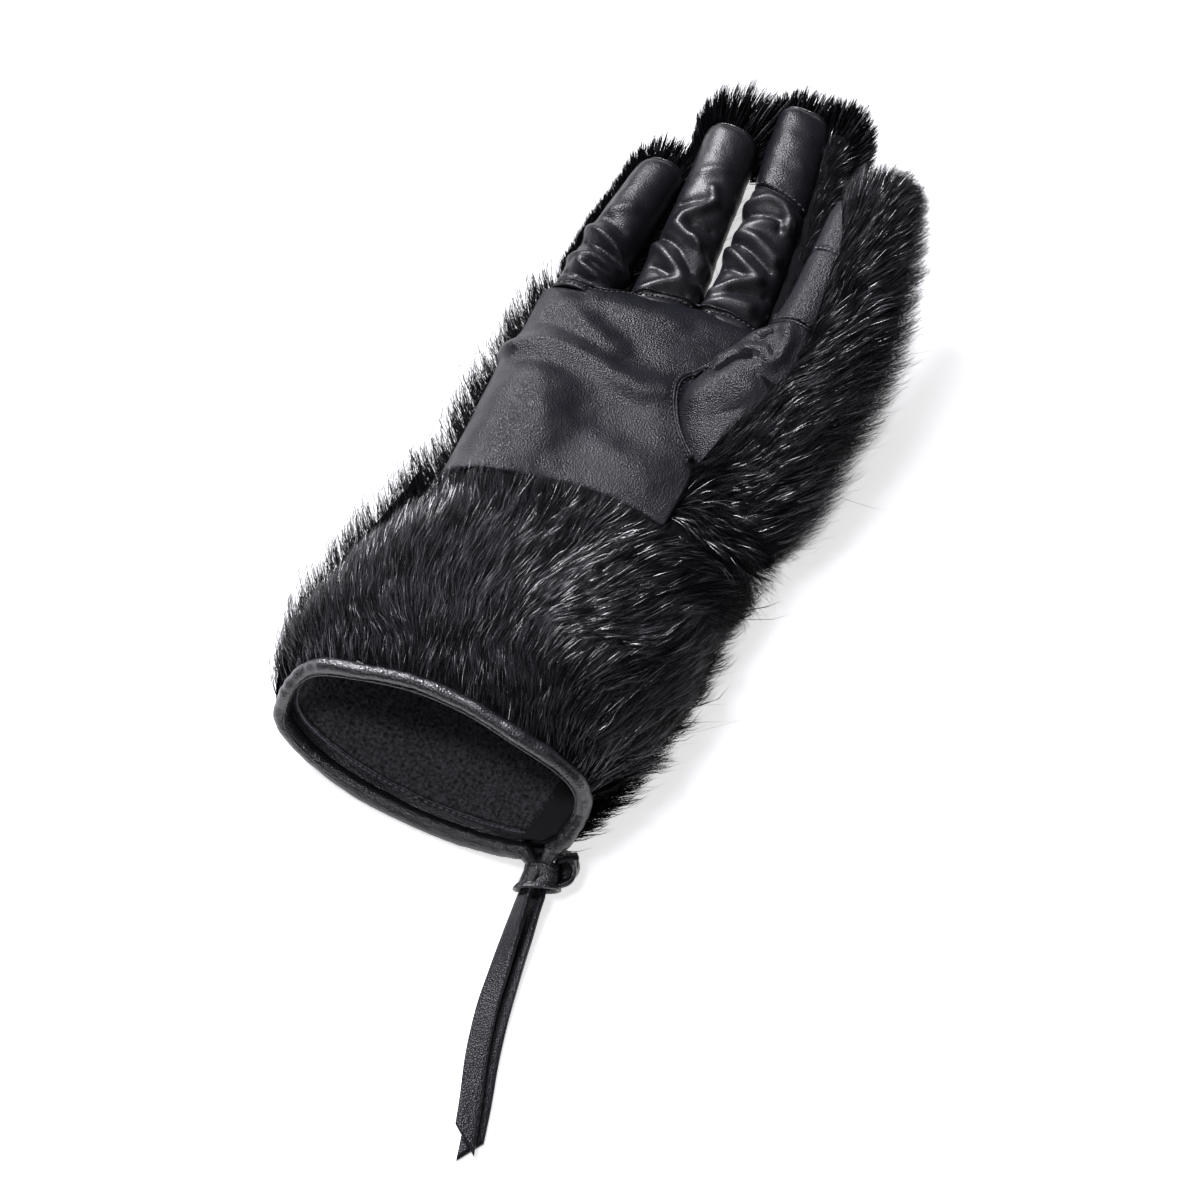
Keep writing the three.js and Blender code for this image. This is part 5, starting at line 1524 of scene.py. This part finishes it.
def knot_strap(name, line, side, width, thick, material):
    """A flat strap through these points; `side` is the way of its width."""
    centres = softened(stretched(line, 40), 12)
    sides = np.repeat(np.array([side], float), len(centres), axis=0)
    rings = strap_points(centres, sides, width, thick)
    rings[..., 2] = np.maximum(rings[..., 2], RESTING)
    return worn(mesh_object(name, *capped(rings), material), "leather_matte")


knot()
knot_strap("knot_side_loop", [
    (30, -104.5, 6.5), (35.2, -103.2, 5.6), (38.8, -99.6, 5.6), (39.0, -95.4, 6.8), (36.0, -92.4, 8.6),
    (31.5, -93.0, 10.2), (28.5, -96.5, 10.0)], (0.1, -0.75, 0.66), 6.0, 1.8, edge_leather)
knot_strap("knot_back_fold", [(29.5, -105.5, 3.4), (32.5, -100, 3.4), (34.0, -95.5, 5.2), (33, -91.5, 9.0)],
           (0.9, 0.4, 0.15), 8.0, 1.6, satin_leather)
knot_strap("zip_end_fold", [(25.5, -102.5, 6.2), (24.8, -98.8, 7.2), (24.0, -95.0, 8.6), (23.0, -90, 9.4)],
           (0.9, 0.35, 0.35), 10.0, 1.4, satin_leather)
knot_strap("knot_pull_end", [(31.5, -96.5, 10.5), (34.0, -94.2, 11.2), (37.4, -91.6, 10.6)],
           (0.5, -0.6, 0.6), 4.2, 1.4, satin_leather)
knot_strap("tail_root_front", [(25.6, -103, 7.6), (25.7, -108, 7.0), (26.2, -113.5, 6.3)],
           (0.55, 0.2, 0.8), 8.0, 1.7, matte_leather)
knot_strap("tail_root_rear", [(29.2, -103, 5.4), (29.8, -107, 5.2), (30.7, -112.5, 4.7)],
           (0.6, 0.22, 0.77), 8.0, 1.7, matte_leather)
stub = stretched([(36.5, -90.5, 10), (37.6, -92.0, 11), (39.4, -95.6, 9.4)], 12)
tube("thread_stub", stub, np.repeat([[0.0, 0.0, 1.0]], 12, axis=0), 0.28, 0.28,
     black_thread, "leather_matte", sides=6)

# %% [markdown]
# ## Zipper
# The tape is woven cloth and the coil is a row of close nylon turns. Only the end of the slit
# shows in the mouth. The slider is dark nickel, a little worn. Their CAD solids are true enough
# at this size, so they stay and only get finishes.

# %% Zipper finishes
zip_cloth, zip_cloth_surface = shader("zip_cloth", (0.014, 0.014, 0.016), 0.85)
zip_weave = noise(zip_cloth, 1800, 2)
bump(zip_cloth, zip_cloth_surface, zip_weave.outputs["Fac"], 0.5, 0.0002)
dark_nickel, nickel_surface = shader("dark_nickel", (0.25, 0.25, 0.27), 0.3, Metallic=1.0)
nickel_wear = noise(dark_nickel, 700, 3)
link(dark_nickel, spread(dark_nickel, nickel_wear.outputs["Fac"], 0.22, 0.45),
     nickel_surface.inputs["Roughness"])
for name, material in (("zipper_tape", zip_cloth), ("zipper_coil", zip_cloth), ("zipper_slider", dark_nickel),
                       ("zip_gusset", zip_cloth)):
    for place in frame["nodes"][name].material_slots:
        place.material = material


# %% [markdown]
# ## Lint
# Knit cloth always picks up short pale fibres, most of them near the slit. They could be specks
# of colour in the lining, but real fibres stand off it and catch the light.

# %% Lint on the lining
def lint():
    """Small bent fibres just above the lining."""
    chance = np.random.default_rng(71)
    count = 900
    row = chance.uniform(MOUTH_Y + 8, -10, count)
    spread_out = chance.random(count) < 0.6
    angle = np.where(spread_out, chance.uniform(200, 320, count), chance.normal(300, 14, count))
    place, facing = skin(BODY, row, np.minimum(angle, 314), 4.0)
    way = unit(chance.normal(size=(count, 3)) - 0.6 * facing)
    size = chance.uniform(0.5, 2.2, count)[:, None]
    steps = [place + way * size * s - facing * (0.7 * s) for s in (0, 0.33, 0.67, 1)]
    points, faces = blades(*steps, unit(np.cross(way, facing)), chance.uniform(0.05, 0.11, count))
    worn(mesh_object("lining_lint", points, faces, grey_thread), "knit")


lint()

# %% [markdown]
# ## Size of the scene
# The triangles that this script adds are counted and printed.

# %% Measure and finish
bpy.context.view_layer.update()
triangles = sum(len(piece.data.loops) - 2 * len(piece.data.polygons) for piece in bpy.data.objects
                if piece.type == "MESH" and piece.name not in frame["nodes"])
print("triangles added", triangles)
